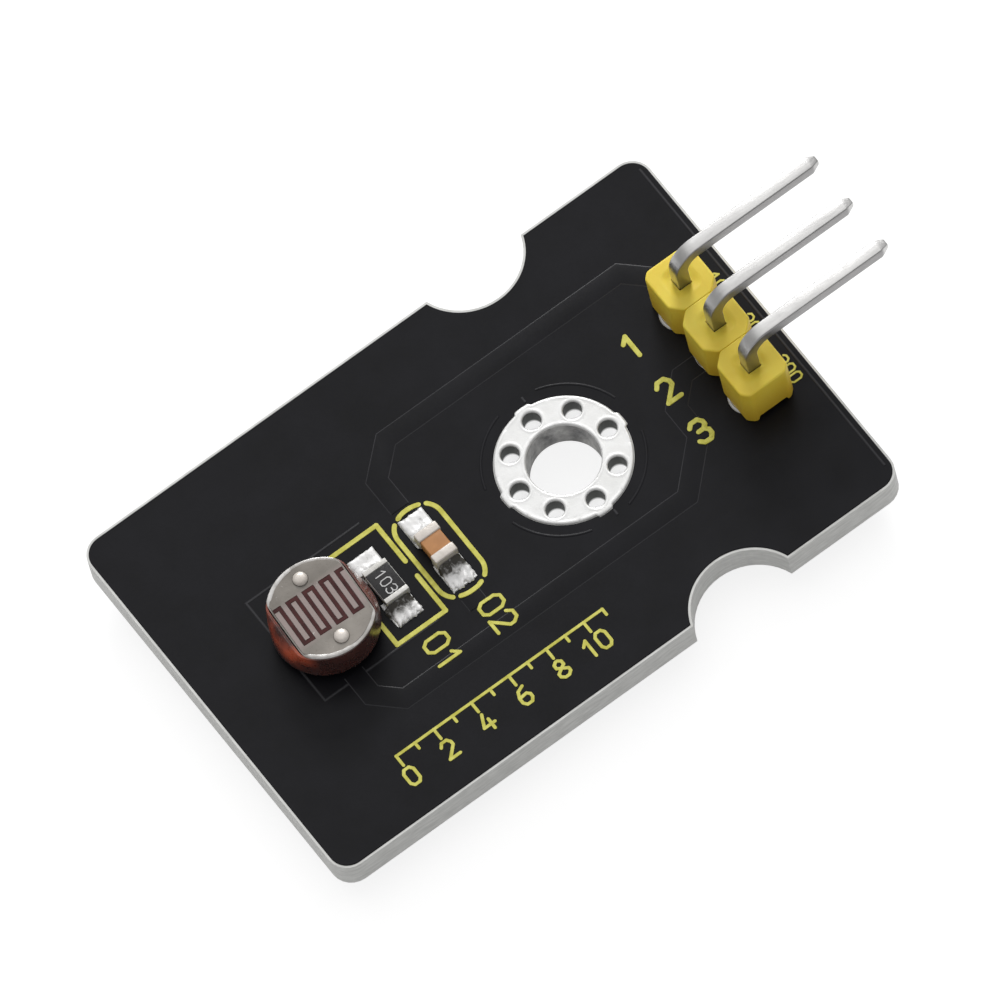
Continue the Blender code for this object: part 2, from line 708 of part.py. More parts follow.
def make_photocell_films():
    """The dark serpentine and the two comb electrodes on the chip's face."""
    electrode = make_material("photocell_electrode", (0.42, 0.38, 0.35), 0.4, 0.6)
    sulphide = make_material("photocell_track", (0.16, 0.03, 0.03), 0.5)
    line = track_centre_line()
    edge = TRACK_WIDTH / 2
    far = CUP_DIAMETER
    low_z = FILM_BOTTOM_Z - CUT_OVERRUN
    depth = FILM_THICKNESS + 2 * CUT_OVERRUN
    regions = {
        "photocell_electrode_1": film_region(shift_line(line, edge + FIT_GAP), far),
        "photocell_electrode_2": film_region(shift_line(line, -edge - FIT_GAP), -far),
    }
    lead_hole = LEAD_HEAD_DIAMETER + 2 * FIT_GAP
    for (name, region), y in zip(regions.items(), LEAD_YS):
        film = add_piece(name, film_plate(name), electrode)
        combine(film, add_cutter(f"{name}_area", flat_mesh(name, [region], low_z, depth)), "INTERSECT")
        hole = rod_mesh("lead_hole", lead_hole, low_z, low_z + depth, PHOTOCELL_X, y)
        combine(film, add_cutter(f"{name}_hole", hole), "DIFFERENCE")
    ribbon = [(PHOTOCELL_X + x, y) for x, y in shift_line(line, edge)]
    ribbon += [(PHOTOCELL_X + x, y) for x, y in reversed(shift_line(line, -edge))]
    track = add_piece("photocell_track", film_plate("photocell_track"), sulphide)
    area = add_cutter("photocell_track_area", flat_mesh("track", [ribbon], low_z, depth))
    combine(track, area, "INTERSECT")


def lead_bores(name, diameter, low, high):
    """One cutter with a bore for each lead."""
    bores = [rod_mesh("bore", diameter, low, high, PHOTOCELL_X, y) for y in LEAD_YS]
    return add_cutter(name, merge_meshes(name, bores))


def shoulder_mesh(side):
    """A wedge that slopes the round cup from a flat of the chip out to its full width."""
    radius = CUP_DIAMETER / 2
    crest = CUP_SHOULDER_WIDTH / 2
    spread = (radius - crest) / CUP_SHOULDER_DROP * CUT_OVERRUN
    top = CUP_TOP_Z + CUT_OVERRUN
    foot = CUP_TOP_Z - CUP_SHOULDER_DROP - CUT_OVERRUN
    far = radius + spread + CUT_OVERRUN
    loop = [(crest - spread, top), (radius + spread, foot), (far, foot), (far, top)]
    mesh = upright_mesh("shoulder", loop, (0.0, 0.0, 0.0), 2 * CUP_DIAMETER, -side)
    mesh.transform(Matrix.Translation((PHOTOCELL_X, 0.0, 0.0)) @ Matrix.Rotation(math.pi / 2, 4, "Z"))
    return mesh


def make_photocell_body():
    """The ceramic chip seated in its resin cup."""
    ceramic = make_material("photocell_ceramic", (0.45, 0.42, 0.38), 0.45)
    resin = make_material("photocell_resin", (0.22, 0.03, 0.012), 0.2)
    chip_loop = flatted_circle(CHIP_DIAMETER, CHIP_FLAT_WIDTH, PHOTOCELL_X, FINE_SIDES)
    chip_mesh = flat_mesh("photocell_chip", [chip_loop], CHIP_BOTTOM_Z, CHIP_THICKNESS)
    chip = add_piece("photocell_chip", chip_mesh, ceramic)
    cup_loop = circle(CUP_DIAMETER, PHOTOCELL_X, 0.0, FINE_SIDES)
    cup = add_piece(
        "photocell_cup", flat_mesh("photocell_cup", [cup_loop], CUP_BOTTOM_Z, CUP_HEIGHT), resin
    )
    round_cup_edges(cup.data)
    seat_loop = flatted_circle(
        CHIP_DIAMETER + 2 * FIT_GAP, CHIP_FLAT_WIDTH + 2 * FIT_GAP, PHOTOCELL_X, FINE_SIDES
    )
    seat_low = CHIP_BOTTOM_Z - FIT_GAP
    seat = flat_mesh("chip_seat", [seat_loop], seat_low, CHIP_THICKNESS + CUT_OVERRUN)
    bore = LEAD_DIAMETER + 2 * FIT_GAP
    bores = lead_bores("photocell_lead_bores", bore, CUP_BOTTOM_Z - CUT_OVERRUN, CHIP_TOP_Z + CUT_OVERRUN)
    combine(chip, bores, "DIFFERENCE")
    shoulders = [add_cutter("cup_shoulder", shoulder_mesh(side)) for side in (1, -1)]
    cut_together(cup, [add_cutter("chip_seat", seat), bores] + shoulders)


def round_cup_edges(mesh):
    """A wide radius round the cup's foot and a fine one at its lip."""
    shape = bmesh.new()
    shape.from_mesh(mesh)
    for height, width, steps in (
        (CUP_BOTTOM_Z, CUP_FOOT_RADIUS, 5),
        (CUP_TOP_Z, CUP_LIP_RADIUS, 3),
    ):
        rim = [
            edge
            for edge in shape.edges
            if all(abs(vert.co.z - height) < WELD_DISTANCE for vert in edge.verts)
            and edge.calc_face_angle(0.0) > math.radians(60)
        ]
        bmesh.ops.bevel(
            shape, geom=rim, offset=width, segments=steps, profile=0.5, affect="EDGES",
            clamp_overlap=False,
        )
    shape.to_mesh(mesh)
    shape.free()
    shade_round(mesh)


def make_photocell_leads():
    """Headed lead wires through the chip, the cup and the board, and their joints."""
    wire = make_material("photocell_lead", (0.8, 0.78, 0.74), 0.3, 1.0)
    tinned = make_material("tinned_lead_land", (0.82, 0.82, 0.8), 0.3, 1.0)
    solder = make_material("photocell_solder", (0.7, 0.7, 0.69), 0.25, 1.0)
    wire_radius = LEAD_DIAMETER / 2
    head_radius = LEAD_HEAD_DIAMETER / 2
    head_low = CHIP_TOP_Z + FIT_GAP
    head_top = FILM_TOP_Z + LEAD_HEAD_HEIGHT
    dome_steps = 5
    dome = []
    for step in range(dome_steps + 1):
        turn = math.pi / 2 * step / dome_steps
        dome.append(
            (
                head_radius * math.sin(turn),
                FILM_TOP_Z + (head_top - FILM_TOP_Z) * math.cos(turn),
            )
        )
    wire_profile = dome + [
        (head_radius, head_low),
        (wire_radius, head_low),
        (wire_radius, PIN_TIP_LENGTH / 3),
        (wire_radius * PIN_TIP_TAPER, 0.0),
        (0.0, 0.0),
    ]
    bottom_z = LAND_BOTTOM_Z - FIT_GAP
    sleeve = LEAD_HOLE_DIAMETER / 2 - FIT_GAP
    inner = wire_radius + FIT_GAP
    outer = LEAD_LAND_DIAMETER / 2 - SOLDER_MARGIN
    low_z = bottom_z - LEAD_SOLDER_HEIGHT
    toe = inner + SOLDER_TOE
    flank = solder_profile(outer, toe, LEAD_SOLDER_HEIGHT, sleeve, bottom_z)
    joint_profile = flank + [(inner, low_z), (inner, LAND_TOP_Z)]
    for index, y in enumerate(LEAD_YS, start=1):
        place = (PHOTOCELL_X, y, 0.0)
        turned_piece(f"photocell_lead_{index}", wire_profile, wire, place, HOLE_SIDES)
        land = circle(LEAD_LAND_DIAMETER, PHOTOCELL_X, y, LAND_SIDES)
        hole = (PHOTOCELL_X, y, LEAD_HOLE_DIAMETER)
        plated_hole(f"photocell_pad_{index}", tinned, land, [hole], HOLE_SIDES)
        turned_piece(f"photocell_solder_{index}", joint_profile, solder, place, HOLE_SIDES)


def make_lands(name, x, span, gap, width, material):
    """The two square lands of a chip part, as far apart as gap, span over both."""
    length = (span - gap) / 2
    centre_y = (span + gap) / 4
    centre_z = BOARD_TOP_Z + FIT_GAP + LAND_THICKNESS / 2
    for index, side in enumerate((1, -1), start=1):
        place = (x, side * centre_y, centre_z)
        mesh = box_mesh(name, (width, length, LAND_THICKNESS), place)
        add_piece(f"{name}_{index}", mesh, material)


def make_fillets(name, x, chip_length, span, width, rise, material):
    """A hollow-faced solder fillet from each chip end down to its land's toe."""
    start = chip_length / 2 + FIT_GAP
    end = span / 2 - SOLDER_MARGIN
    base = LAND_TOP_Z + FIT_GAP
    reach = end - start
    steps = 6
    face = []
    for step in range(steps + 1):
        turn = math.pi / 2 * step / steps
        along = start + reach * math.sin(turn)
        up = SOLDER_TOE + (rise - SOLDER_TOE) * (1 - math.sin(turn)) ** 1.4
        face.append((along, up))
    loop = [(start, 0.0), (end, 0.0)] + list(reversed(face))
    for index, side in enumerate((1, -1), start=1):
        mesh = upright_mesh(name, loop, (x, 0.0, base), width, side)
        fillet = add_piece(f"{name}_{index}", mesh, material)
        round_edges(fillet, SOLDER_EDGE_RADIUS, 1)


def make_resistor():
    """Alumina body with a black glaze, wrapped ends, lands and fillets."""
    alumina = make_material("resistor_alumina", (0.75, 0.74, 0.7), 0.5)
    glaze = make_material("resistor_glaze", (0.02, 0.02, 0.022), 0.3)
    tin = make_material("resistor_tin", (0.8, 0.8, 0.78), 0.3, 1.0)
    solder = make_material("resistor_solder", (0.78, 0.78, 0.77), 0.25, 1.0)
    base = LAND_TOP_Z + CHIP_SOLDER_FILM
    middle_z = base + RESISTOR_HEIGHT / 2
    wall = RESISTOR_END_WALL + FIT_GAP
    body_size = (RESISTOR_WIDTH, RESISTOR_LENGTH - 2 * wall, RESISTOR_HEIGHT - 2 * wall)
    place = (RESISTOR_X, 0.0, middle_z)
    add_piece("resistor_body", box_mesh("resistor_body", body_size, place), alumina)
    hollow_size = (
        RESISTOR_WIDTH + CUT_OVERRUN,
        RESISTOR_LENGTH - 2 * RESISTOR_END_WALL,
        RESISTOR_HEIGHT - 2 * RESISTOR_END_WALL,
    )
    hollow = add_cutter("resistor_hollow", box_mesh("resistor_hollow", hollow_size, place))
    end_size = (RESISTOR_WIDTH, RESISTOR_END_LENGTH, RESISTOR_HEIGHT)
    for index, side in enumerate((1, -1), start=1):
        end_y = side * (RESISTOR_LENGTH - RESISTOR_END_LENGTH) / 2
        mesh = box_mesh("resistor_end", end_size, (RESISTOR_X, end_y, middle_z))
        end = add_piece(f"resistor_end_{index}", mesh, tin)
        round_edges(end, RESISTOR_END_WALL / 2, 2)
        combine(end, hollow, "DIFFERENCE")
    coat_size = (
        RESISTOR_WIDTH - 2 * RESISTOR_COAT_MARGIN,
        RESISTOR_LENGTH - 2 * (RESISTOR_END_LENGTH + FIT_GAP),
        RESISTOR_COAT_THICKNESS,
    )
    coat_z = middle_z + body_size[2] / 2 + FIT_GAP + RESISTOR_COAT_THICKNESS / 2
    mesh = box_mesh("resistor_glaze", coat_size, (RESISTOR_X, 0.0, coat_z))
    add_piece("resistor_glaze", mesh, glaze)
    make_lands(
        "resistor_land", RESISTOR_X, RESISTOR_LAND_SPAN, RESISTOR_LAND_GAP, RESISTOR_LAND_WIDTH, tin
    )
    make_fillets(
        "resistor_solder", RESISTOR_X, RESISTOR_LENGTH, RESISTOR_LAND_SPAN,
        RESISTOR_LAND_WIDTH - 2 * SOLDER_MARGIN, RESISTOR_SOLDER_RISE, solder,
    )


def make_capacitor():
    """Tan ceramic block with dipped ends, lands and fillets."""
    ceramic = make_material("capacitor_ceramic", (0.45, 0.2, 0.07), 0.4)
    tin = make_material("capacitor_tin", (0.75, 0.72, 0.68), 0.35, 1.0)
    solder = make_material("capacitor_solder", (0.78, 0.78, 0.77), 0.25, 1.0)
    base = LAND_TOP_Z + CHIP_SOLDER_FILM
    place = (CAPACITOR_X, 0.0, base + CAPACITOR_HEIGHT / 2)
    wall = CAPACITOR_END_WALL + FIT_GAP
    body_size = (
        CAPACITOR_WIDTH - 2 * wall,
        CAPACITOR_LENGTH - 2 * wall,
        CAPACITOR_HEIGHT - 2 * wall,
    )
    body = add_piece("capacitor_body", box_mesh("capacitor_body", body_size, place), ceramic)
    round_edges(body, CHIP_EDGE_RADIUS, 3)
    hollow_size = (
        CAPACITOR_WIDTH - 2 * CAPACITOR_END_WALL,
        CAPACITOR_LENGTH - 2 * CAPACITOR_END_WALL,
        CAPACITOR_HEIGHT - 2 * CAPACITOR_END_WALL,
    )
    hollow = add_cutter("capacitor_hollow", box_mesh("capacitor_hollow", hollow_size, place))
    round_edges(hollow, CHIP_EDGE_RADIUS, 3)
    end_size = (CAPACITOR_WIDTH, CAPACITOR_END_LENGTH, CAPACITOR_HEIGHT)
    for index, side in enumerate((1, -1), start=1):
        end_y = side * (CAPACITOR_LENGTH - CAPACITOR_END_LENGTH) / 2
        mesh = box_mesh("capacitor_end", end_size, (CAPACITOR_X, end_y, place[2]))
        end = add_piece(f"capacitor_end_{index}", mesh, tin)
        round_edges(end, CHIP_EDGE_RADIUS, 3)
        combine(end, hollow, "DIFFERENCE")
    make_lands(
        "capacitor_land", CAPACITOR_X, CAPACITOR_LAND_SPAN, CAPACITOR_LAND_GAP,
        CAPACITOR_LAND_WIDTH, tin,
    )
    make_fillets(
        "capacitor_solder", CAPACITOR_X, CAPACITOR_LENGTH, CAPACITOR_LAND_SPAN,
        CAPACITOR_LAND_WIDTH - 2 * SOLDER_MARGIN, CAPACITOR_SOLDER_RISE, solder,
    )


make_board()
make_fixing_hole()
make_housing()
make_pins()
make_header_joints()
make_photocell_body()
make_photocell_films()
make_photocell_leads()
make_resistor()
make_capacitor()
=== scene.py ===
import bmesh
import bpy
import numpy as np
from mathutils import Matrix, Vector
from mathutils.geometry import tessellate_polygon


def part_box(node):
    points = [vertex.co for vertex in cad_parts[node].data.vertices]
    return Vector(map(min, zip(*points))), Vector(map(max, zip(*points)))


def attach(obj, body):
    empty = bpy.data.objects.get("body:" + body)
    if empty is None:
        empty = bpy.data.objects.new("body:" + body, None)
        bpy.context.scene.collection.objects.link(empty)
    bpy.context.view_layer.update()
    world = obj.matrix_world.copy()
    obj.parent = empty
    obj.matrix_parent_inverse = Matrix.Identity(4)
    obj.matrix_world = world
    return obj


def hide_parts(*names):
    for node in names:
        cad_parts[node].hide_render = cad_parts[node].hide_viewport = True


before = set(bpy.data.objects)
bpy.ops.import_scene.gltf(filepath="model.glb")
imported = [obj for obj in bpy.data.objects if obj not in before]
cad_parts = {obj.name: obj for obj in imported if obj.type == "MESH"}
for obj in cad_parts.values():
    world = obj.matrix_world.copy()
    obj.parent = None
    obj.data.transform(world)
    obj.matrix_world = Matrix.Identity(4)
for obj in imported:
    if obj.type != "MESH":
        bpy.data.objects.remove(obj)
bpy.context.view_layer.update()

# Circuit board: glass cloth and epoxy pressed to a 1.6 mm laminate, drilled, then routed
# to its outline. The cutter leaves pale edges with the cloth's layers in them.
MM = 0.001
CORNER_RADIUS = 1.0
NOTCH_RADIUS = 2.66
NOTCH_DEPTH = 1.82
NOTCH_FROM_HEADER_EDGE = 8.76
CORNER_STEPS = 12
NOTCH_STEPS = 48


def node_box(node):
    """Lowest and highest corner of a CAD node, in millimetres."""
    low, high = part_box(node)
    return np.array(low) / MM, np.array(high) / MM


def node_middle(node):
    """The middle of a CAD node, seen from above."""
    low, high = node_box(node)
    return (low[:2] + high[:2]) / 2


board_low, board_high = node_box("circuit_board")
board_top = board_high[2]
board_bottom = board_low[2]
board_centre = node_middle("circuit_board")


def all_round(count):
    """Even angles, once round."""
    return np.linspace(0, 2 * np.pi, count, endpoint=False)


def rays(angle):
    """Unit vectors in the board's plane: the cosine and sine of each angle."""
    return np.stack([np.cos(angle), np.sin(angle)], 1)


def arc(centre, radius, start, sweep, steps):
    """Points of an arc: the centre plus the radius times the rays of even angles."""
    return np.asarray(centre) + radius * rays(start + sweep * np.linspace(0, 1, steps + 1))


def corner_arcs(low, high, radius, steps):
    """Quarter arcs about the four corners of a rectangle, once round from the lowest."""
    quarter = np.pi / 2
    corners = (low, (high[0], low[1]), high, (low[0], high[1]))
    return [
        arc(corner, radius, (number - 2) * quarter, quarter, steps)
        for number, corner in enumerate(corners)
    ]


def notch_arc(side, inset):
    """The half-round bite in a long edge, whose radius grows by the inset."""
    offset = NOTCH_RADIUS - NOTCH_DEPTH
    radius = NOTCH_RADIUS + inset
    lean = np.arcsin((offset + inset) / radius)
    centre = (board_high[0] - NOTCH_FROM_HEADER_EDGE, side * (board_high[1] + offset))
    start = -lean if side > 0 else np.pi - lean
    return arc(centre, radius, start, 2 * lean - np.pi, NOTCH_STEPS)


def board_outline(inset):
    """The routed outline moved inwards: four corner arcs whose radius shrinks by the inset,
    and two notch arcs, joined by straight runs."""
    low = board_low[:2] + CORNER_RADIUS
    high = board_high[:2] - CORNER_RADIUS
    corners = corner_arcs(low, high, CORNER_RADIUS - inset, CORNER_STEPS)
    return np.concatenate([
        corners[0], notch_arc(-1, inset), corners[1], corners[2], notch_arc(1, inset), corners[3],
    ])


def add_node(tree, kind, inputs=None, **settings):
    """A shader node with its settings, each input set to a value or linked to a socket."""
    made = tree.nodes.new(kind)
    for name, value in settings.items():
        setattr(made, name, value)
    for name, value in (inputs or {}).items():
        if isinstance(value, bpy.types.NodeSocket):
            tree.links.new(value, made.inputs[name])
        else:
            made.inputs[name].default_value = value
    return made


def make_grain_group():
    """Noise in the object's own millimetres: a broad mask, a fine mask and a bumped normal."""
    tree = bpy.data.node_groups.new("grain", "ShaderNodeTree")
    for way, kind, names in (
        ("INPUT", "Vector", ["Stretch"]),
        ("INPUT", "Float", ["Broad Scale", "Fine Scale", "Bump Strength", "Bump Depth"]),
        ("OUTPUT", "Float", ["Broad", "Fine"]),
        ("OUTPUT", "Vector", ["Normal"]),
    ):
        for name in names:
            tree.interface.new_socket(name, in_out=way, socket_type=f"NodeSocket{kind}")
    given = add_node(tree, "NodeGroupInput").outputs
    result = add_node(tree, "NodeGroupOutput").inputs
    place = add_node(tree, "ShaderNodeTexCoord").outputs["Object"]
    place = add_node(
        tree, "ShaderNodeMapping", {"Vector": place, "Scale": given["Stretch"]}
    ).outputs["Vector"]
    # the fine noise comes last, and raises the bump
    for name, detail, roughness in (("Broad", 3.0, 0.5), ("Fine", 5.0, 0.6)):
        noise = add_node(tree, "ShaderNodeTexNoise", {
            "Vector": place, "Scale": given[f"{name} Scale"], "Detail": detail,
            "Roughness": roughness,
        }).outputs["Fac"]
        tree.links.new(noise, result[name])
    bump = add_node(tree, "ShaderNodeBump", {
        "Height": noise, "Strength": given["Bump Strength"], "Distance": given["Bump Depth"],
    })
    tree.links.new(bump.outputs["Normal"], result["Normal"])
    return tree


grain_group = make_grain_group()


def mix_colours(tree, factor, first, second):
    """The colour that a factor picks between two colours. Sockets 0, 6 and 7 of a colour
    mix are its factor and its two colours, and 2 is its result."""
    inputs = {0: factor}
    for socket, colour in ((6, first), (7, second)):
        inputs[socket] = colour if isinstance(colour, bpy.types.NodeSocket) else (*colour, 1.0)
    return add_node(tree, "ShaderNodeMix", inputs, data_type="RGBA").outputs[2]


def spread(tree, value, low, high, to_low=0.0, to_high=1.0):
    """A value carried from one range to another, and held at its ends."""
    return add_node(tree, "ShaderNodeMapRange", {
        "Value": value, "From Min": low, "From Max": high, "To Min": to_low, "To Max": to_high,
    }).outputs["Result"]


def make_finish(name, dark, light, roughness, scales, bump, stretch=(1, 1, 1), **constants):
    """A Principled finish whose colour wanders between two tones with the broad grain, and
    whose roughness and normal follow the fine grain. scales are per millimetre."""
    material = bpy.data.materials.new(name)
    material.use_nodes = True
    tree = material.node_tree
    shader = tree.nodes["Principled BSDF"].inputs
    grain = add_node(tree, "ShaderNodeGroup", {
        "Stretch": stretch, "Broad Scale": scales[0] / MM, "Fine Scale": scales[1] / MM,
        "Bump Strength": bump[0], "Bump Depth": bump[1] * MM,
    }, node_tree=grain_group).outputs
    broad = spread(tree, grain["Broad"], 0.3, 0.7)
    tree.links.new(mix_colours(tree, broad, dark, light), shader["Base Color"])
    tree.links.new(spread(tree, grain["Fine"], 0.3, 0.7, *roughness), shader["Roughness"])
    tree.links.new(grain["Normal"], shader["Normal"])
    for socket, value in constants.items():
        shader[socket.replace("_", " ")].default_value = value
    return material


def dress(node, material):
    """Give a CAD node that is shown as it is its own finish."""
    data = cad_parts[node].data
    data.materials.clear()
    data.materials.append(material)


laminate = make_finish(
    "glass_epoxy", (0.60, 0.60, 0.58), (0.76, 0.76, 0.74), (0.45, 0.7), (1.2, 5.0), (0.5, 0.02),
    stretch=(1.0, 1.0, 5.0),
)
dress("circuit_board", laminate)


def grid_faces(rows, columns, round_rows, round_columns, first):
    """Quads of a grid of points, each point joined to its neighbours in both parameters.
    A round parameter joins its last line to its first."""
    row = np.arange(rows if round_rows else rows - 1)[:, None]
    column = np.arange(columns if round_columns else columns - 1)[None, :]
    next_row = (row + 1) % rows
    next_column = (column + 1) % columns
    corners = [
        row * columns + column, row * columns + next_column,
        next_row * columns + next_column, next_row * columns + column,
    ]
    return first + np.stack([np.broadcast_to(c, corners[0].shape) for c in corners], 2).reshape(-1, 4)


class Shape:
    """Points in millimetres and their faces, gathered from grids before they become a mesh."""

    def __init__(self):
        self.points = []
        self.faces = []
        self.count = 0

    def add(self, points, faces):
        """Add loose points with faces that already count from the shape's first point."""
        self.points.append(points.reshape(-1, 3))
        self.faces.extend(faces)
        self.count += self.points[-1].shape[0]

    def grid(self, points, round_rows=False, round_columns=True, caps=False):
        """Add a grid of points, and give the shape back. Its rows close on themselves unless
        told otherwise. Caps close its first and last row with one face each."""
        rows, columns = points.shape[:2]
        faces = grid_faces(rows, columns, round_rows, round_columns, self.count).tolist()
        if caps:
            start = self.count + np.arange(columns)
            faces += [start[::-1].tolist(), (start + (rows - 1) * columns).tolist()]
        self.add(points, faces)
        return self


def make_piece(name, shape, material, replaced=(), smooth_below=40):
    """The shape as a closed mesh in metres: doubles merged, faces turned outwards, and
    edges flatter than the angle shaded smooth."""
    mesh = bpy.data.meshes.new(name)
    mesh.from_pydata((np.concatenate(shape.points) * MM).tolist(), [], shape.faces)
    work = bmesh.new()
    work.from_mesh(mesh)
    bmesh.ops.remove_doubles(work, verts=work.verts, dist=0.0002 * MM)
    bmesh.ops.recalc_face_normals(work, faces=work.faces)
    work.to_mesh(mesh)
    work.free()
    mesh.polygons.foreach_set("use_smooth", np.ones(len(mesh.polygons), bool))
    mesh.set_sharp_from_angle(angle=np.radians(smooth_below))
    mesh.materials.append(material)
    piece = bpy.data.objects.new(name, mesh)
    bpy.context.scene.collection.objects.link(piece)
    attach(piece, "root")
    if replaced:
        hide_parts(*replaced)
    return piece


# Solder mask: a thin black film of ink, printed on both faces and baked, left open round
# each land. It stops short of the routed edge, and lies in low ridges over the tracks.
MASK_THICKNESS = 0.035
MASK_EDGE_GAP = 0.10
MASK_SHOULDER = 0.03
MASK_CLEARANCE = 0.02
SKIN_GAP = 0.003
RING_OUTER_RADIUS = 3.05
SPOKE_HALF_WIDTH = 0.33
SPOKE_REACH = 0.12
BARE_LEAD_LAND = 0.46
TRACK_HEIGHT = 0.03
TRACK_SHOULDER = 0.08
RELIEF_SINK = 0.006
RELIEF_STEP = 0.0006
SHARPEST_MITRE = 0.4

fixing_centre = node_middle("fixing_hole_plating")


def soft_step(value, low, high):
    """Zero below low and one above high, with a smooth cubic run between."""
    t = np.clip((value - low) / (high - low), 0, 1)
    return t * t * (3 - 2 * t)


def spoke_reach(angle):
    """How far the plated ring stands past its circle: a soft bump every quarter turn."""
    across = RING_OUTER_RADIUS * np.sin((angle + np.pi / 4) % (np.pi / 2) - np.pi / 4)
    return SPOKE_REACH * (1 - soft_step(np.abs(across), SPOKE_HALF_WIDTH, SPOKE_HALF_WIDTH + 0.1))


def ring_opening(grow):
    """The mask's edge round the plated ring."""
    angle = all_round(240)
    radius = RING_OUTER_RADIUS + MASK_CLEARANCE + grow + spoke_reach(angle)
    return fixing_centre + radius[:, None] * rays(angle)


def round_rectangle(low, high, radius, grow, steps):
    """A rectangle with quarter arcs at its corners, moved outwards by grow."""
    return np.concatenate(
        corner_arcs(np.asarray(low) + radius, np.asarray(high) - radius, radius + grow, steps)
    )


def land_opening(node, radius, grow):
    """The mask's edge round one land."""
    low, high = node_box(node)
    return round_rectangle(low[:2], high[:2], radius, MASK_CLEARANCE + grow, 12)


# each land with the radius of its corners
HEADER_LANDS = {f"header_pad_{number}": 0.85 for number in (1, 2, 3)}
LEAD_LANDS = {f"photocell_pad_{number}": 0.79 for number in (1, 2)}
CHIP_LANDS = {f"{chip}_land_{number}": 0.12 for chip in ("resistor", "capacitor") for number in (1, 2)}


def lead_opening(node, grow):
    """The mask's edge over a land of the photocell, which the mask covers up to its bore."""
    return node_middle(node) + (BARE_LEAD_LAND + grow) * rays(all_round(32))


def mask_loops(lands, covered, shoulder):
    """The mask's outline and its openings, drawn in from their edges by the shoulder."""
    loops = [board_outline(MASK_EDGE_GAP + shoulder), ring_opening(shoulder)]
    loops += [land_opening(node, radius, shoulder) for node, radius in lands.items()]
    loops += [lead_opening(node, shoulder) for node in covered]
    return loops


def mask_shape(lands, covered, level, outward):
    """A flat sheet between two faces, whose edges rise over a narrow shoulder: one fan of
    triangles over the outline and openings serves both faces."""
    foot = mask_loops(lands, covered, 0.0)
    rim = mask_loops(lands, covered, MASK_SHOULDER)
    triangles = np.array(tessellate_polygon([[Vector((*p, 0)) for p in loop] for loop in rim]))
    shape = Shape()
    levels = (level + outward * SKIN_GAP, level + outward * MASK_THICKNESS)
    for loops, z in zip((foot, rim), levels):
        flat = np.concatenate(loops)
        faces = (triangles + shape.count).tolist()
        shape.add(np.column_stack([flat, np.full(len(flat), z)]), faces)
    total = shape.count // 2
    start = 0
    for loop in rim:
        here = start + np.arange(len(loop))
        after = start + (np.arange(len(loop)) + 1) % len(loop)
        shape.faces.extend(np.stack([here, after, after + total, here + total], 1).tolist())
        start += len(loop)
    return shape


black_mask = make_finish(
    "black_solder_mask", (0.0042, 0.0042, 0.0056), (0.0072, 0.0072, 0.0096), (0.30, 0.42),
    (0.5, 9.0), (0.2, 0.008), Specular_IOR_Level=0.15,
)
mask_top = board_top + MASK_THICKNESS
make_piece(
    "solder_mask_top", mask_shape({**HEADER_LANDS, **CHIP_LANDS}, LEAD_LANDS, board_top, 1),
    black_mask,
)
make_piece(
    "solder_mask_bottom", mask_shape({**HEADER_LANDS, **LEAD_LANDS}, [], board_bottom, -1),
    black_mask,
)


def unit(vectors):
    """Each vector divided by its length."""
    return vectors / np.linalg.norm(vectors, axis=-1, keepdims=True)


def carry_profile(path, profile):
    """An open, flat path in the board's plane carries a profile of (side, height) points:
    each path point moves along the mitre of its two neighbours' directions."""
    way = unit(np.diff(np.asarray(path, float), axis=0))
    after = np.concatenate([way, way[-1:]])
    before = np.concatenate([way[:1], way])
    mitre = unit(before + after)
    stretch = 1 / np.maximum((mitre * after).sum(1), SHARPEST_MITRE)
    side = np.stack([-mitre[:, 1], mitre[:, 0]], 1) * stretch[:, None]
    profile = np.asarray(profile, float)
    flat = path[:, None, :] + side[:, None, :] * profile[None, :, :1]
    height = np.broadcast_to(profile[None, :, 1:], flat.shape[:2] + (1,))
    return np.concatenate([flat, height], 2)


def lane(points, width):
    """A covered track: its centre line in the row's frame, and the width of its copper."""
    return np.asarray(points, float) + board_centre, width


def arc_lane(radius, start, sweep):
    """A fine line round the fixing hole, where the copper of its four spokes begins."""
    turn, sweep = np.radians((start, sweep))
    return arc(fixing_centre, radius, turn, sweep, 20), LINE_WIDTH


TRACK_WIDTH = 0.86
LINE_WIDTH = 0.02
# corners in millimetres from the board's middle
TRACKS = [
    lane([(-2.94, 2.6), (-2.94, 4.3), (-1.5, 5.65), (10.98, 5.65), (12.08, 4.55), (12.08, 3.2)],
         TRACK_WIDTH),
    lane([(-9.04, -2.4), (-9.04, -3.75), (-8.0, -4.79), (7.1, -4.79), (9.19, -2.7), (9.19, -1.1),
          (10.3, 0.0), (11.2, 0.0)], TRACK_WIDTH),
    lane([(-2.94, -2.6), (-2.94, -3.25)], TRACK_WIDTH),
]
POUR_EDGES = [
    lane([(-4.71, -2.69), (-10.75, -2.69), (-10.75, 3.16), (-4.71, 3.16)], LINE_WIDTH),
    lane([(14.62, 9.1), (14.62, -8.95)], LINE_WIDTH),
    lane([(4.25, 3.26), (4.25, 3.55)], LINE_WIDTH),
    lane([(4.25, -3.26), (4.25, -3.55)], LINE_WIDTH),
]
RING_ARCS = [arc_lane(3.60, quarter * 90 + 16, 58) for quarter in range(4)]
LINES = (("track_ridges", TRACKS, 0.9), ("pour_edges", POUR_EDGES, 0.8), ("ring_arcs", RING_ARCS, 0.2))


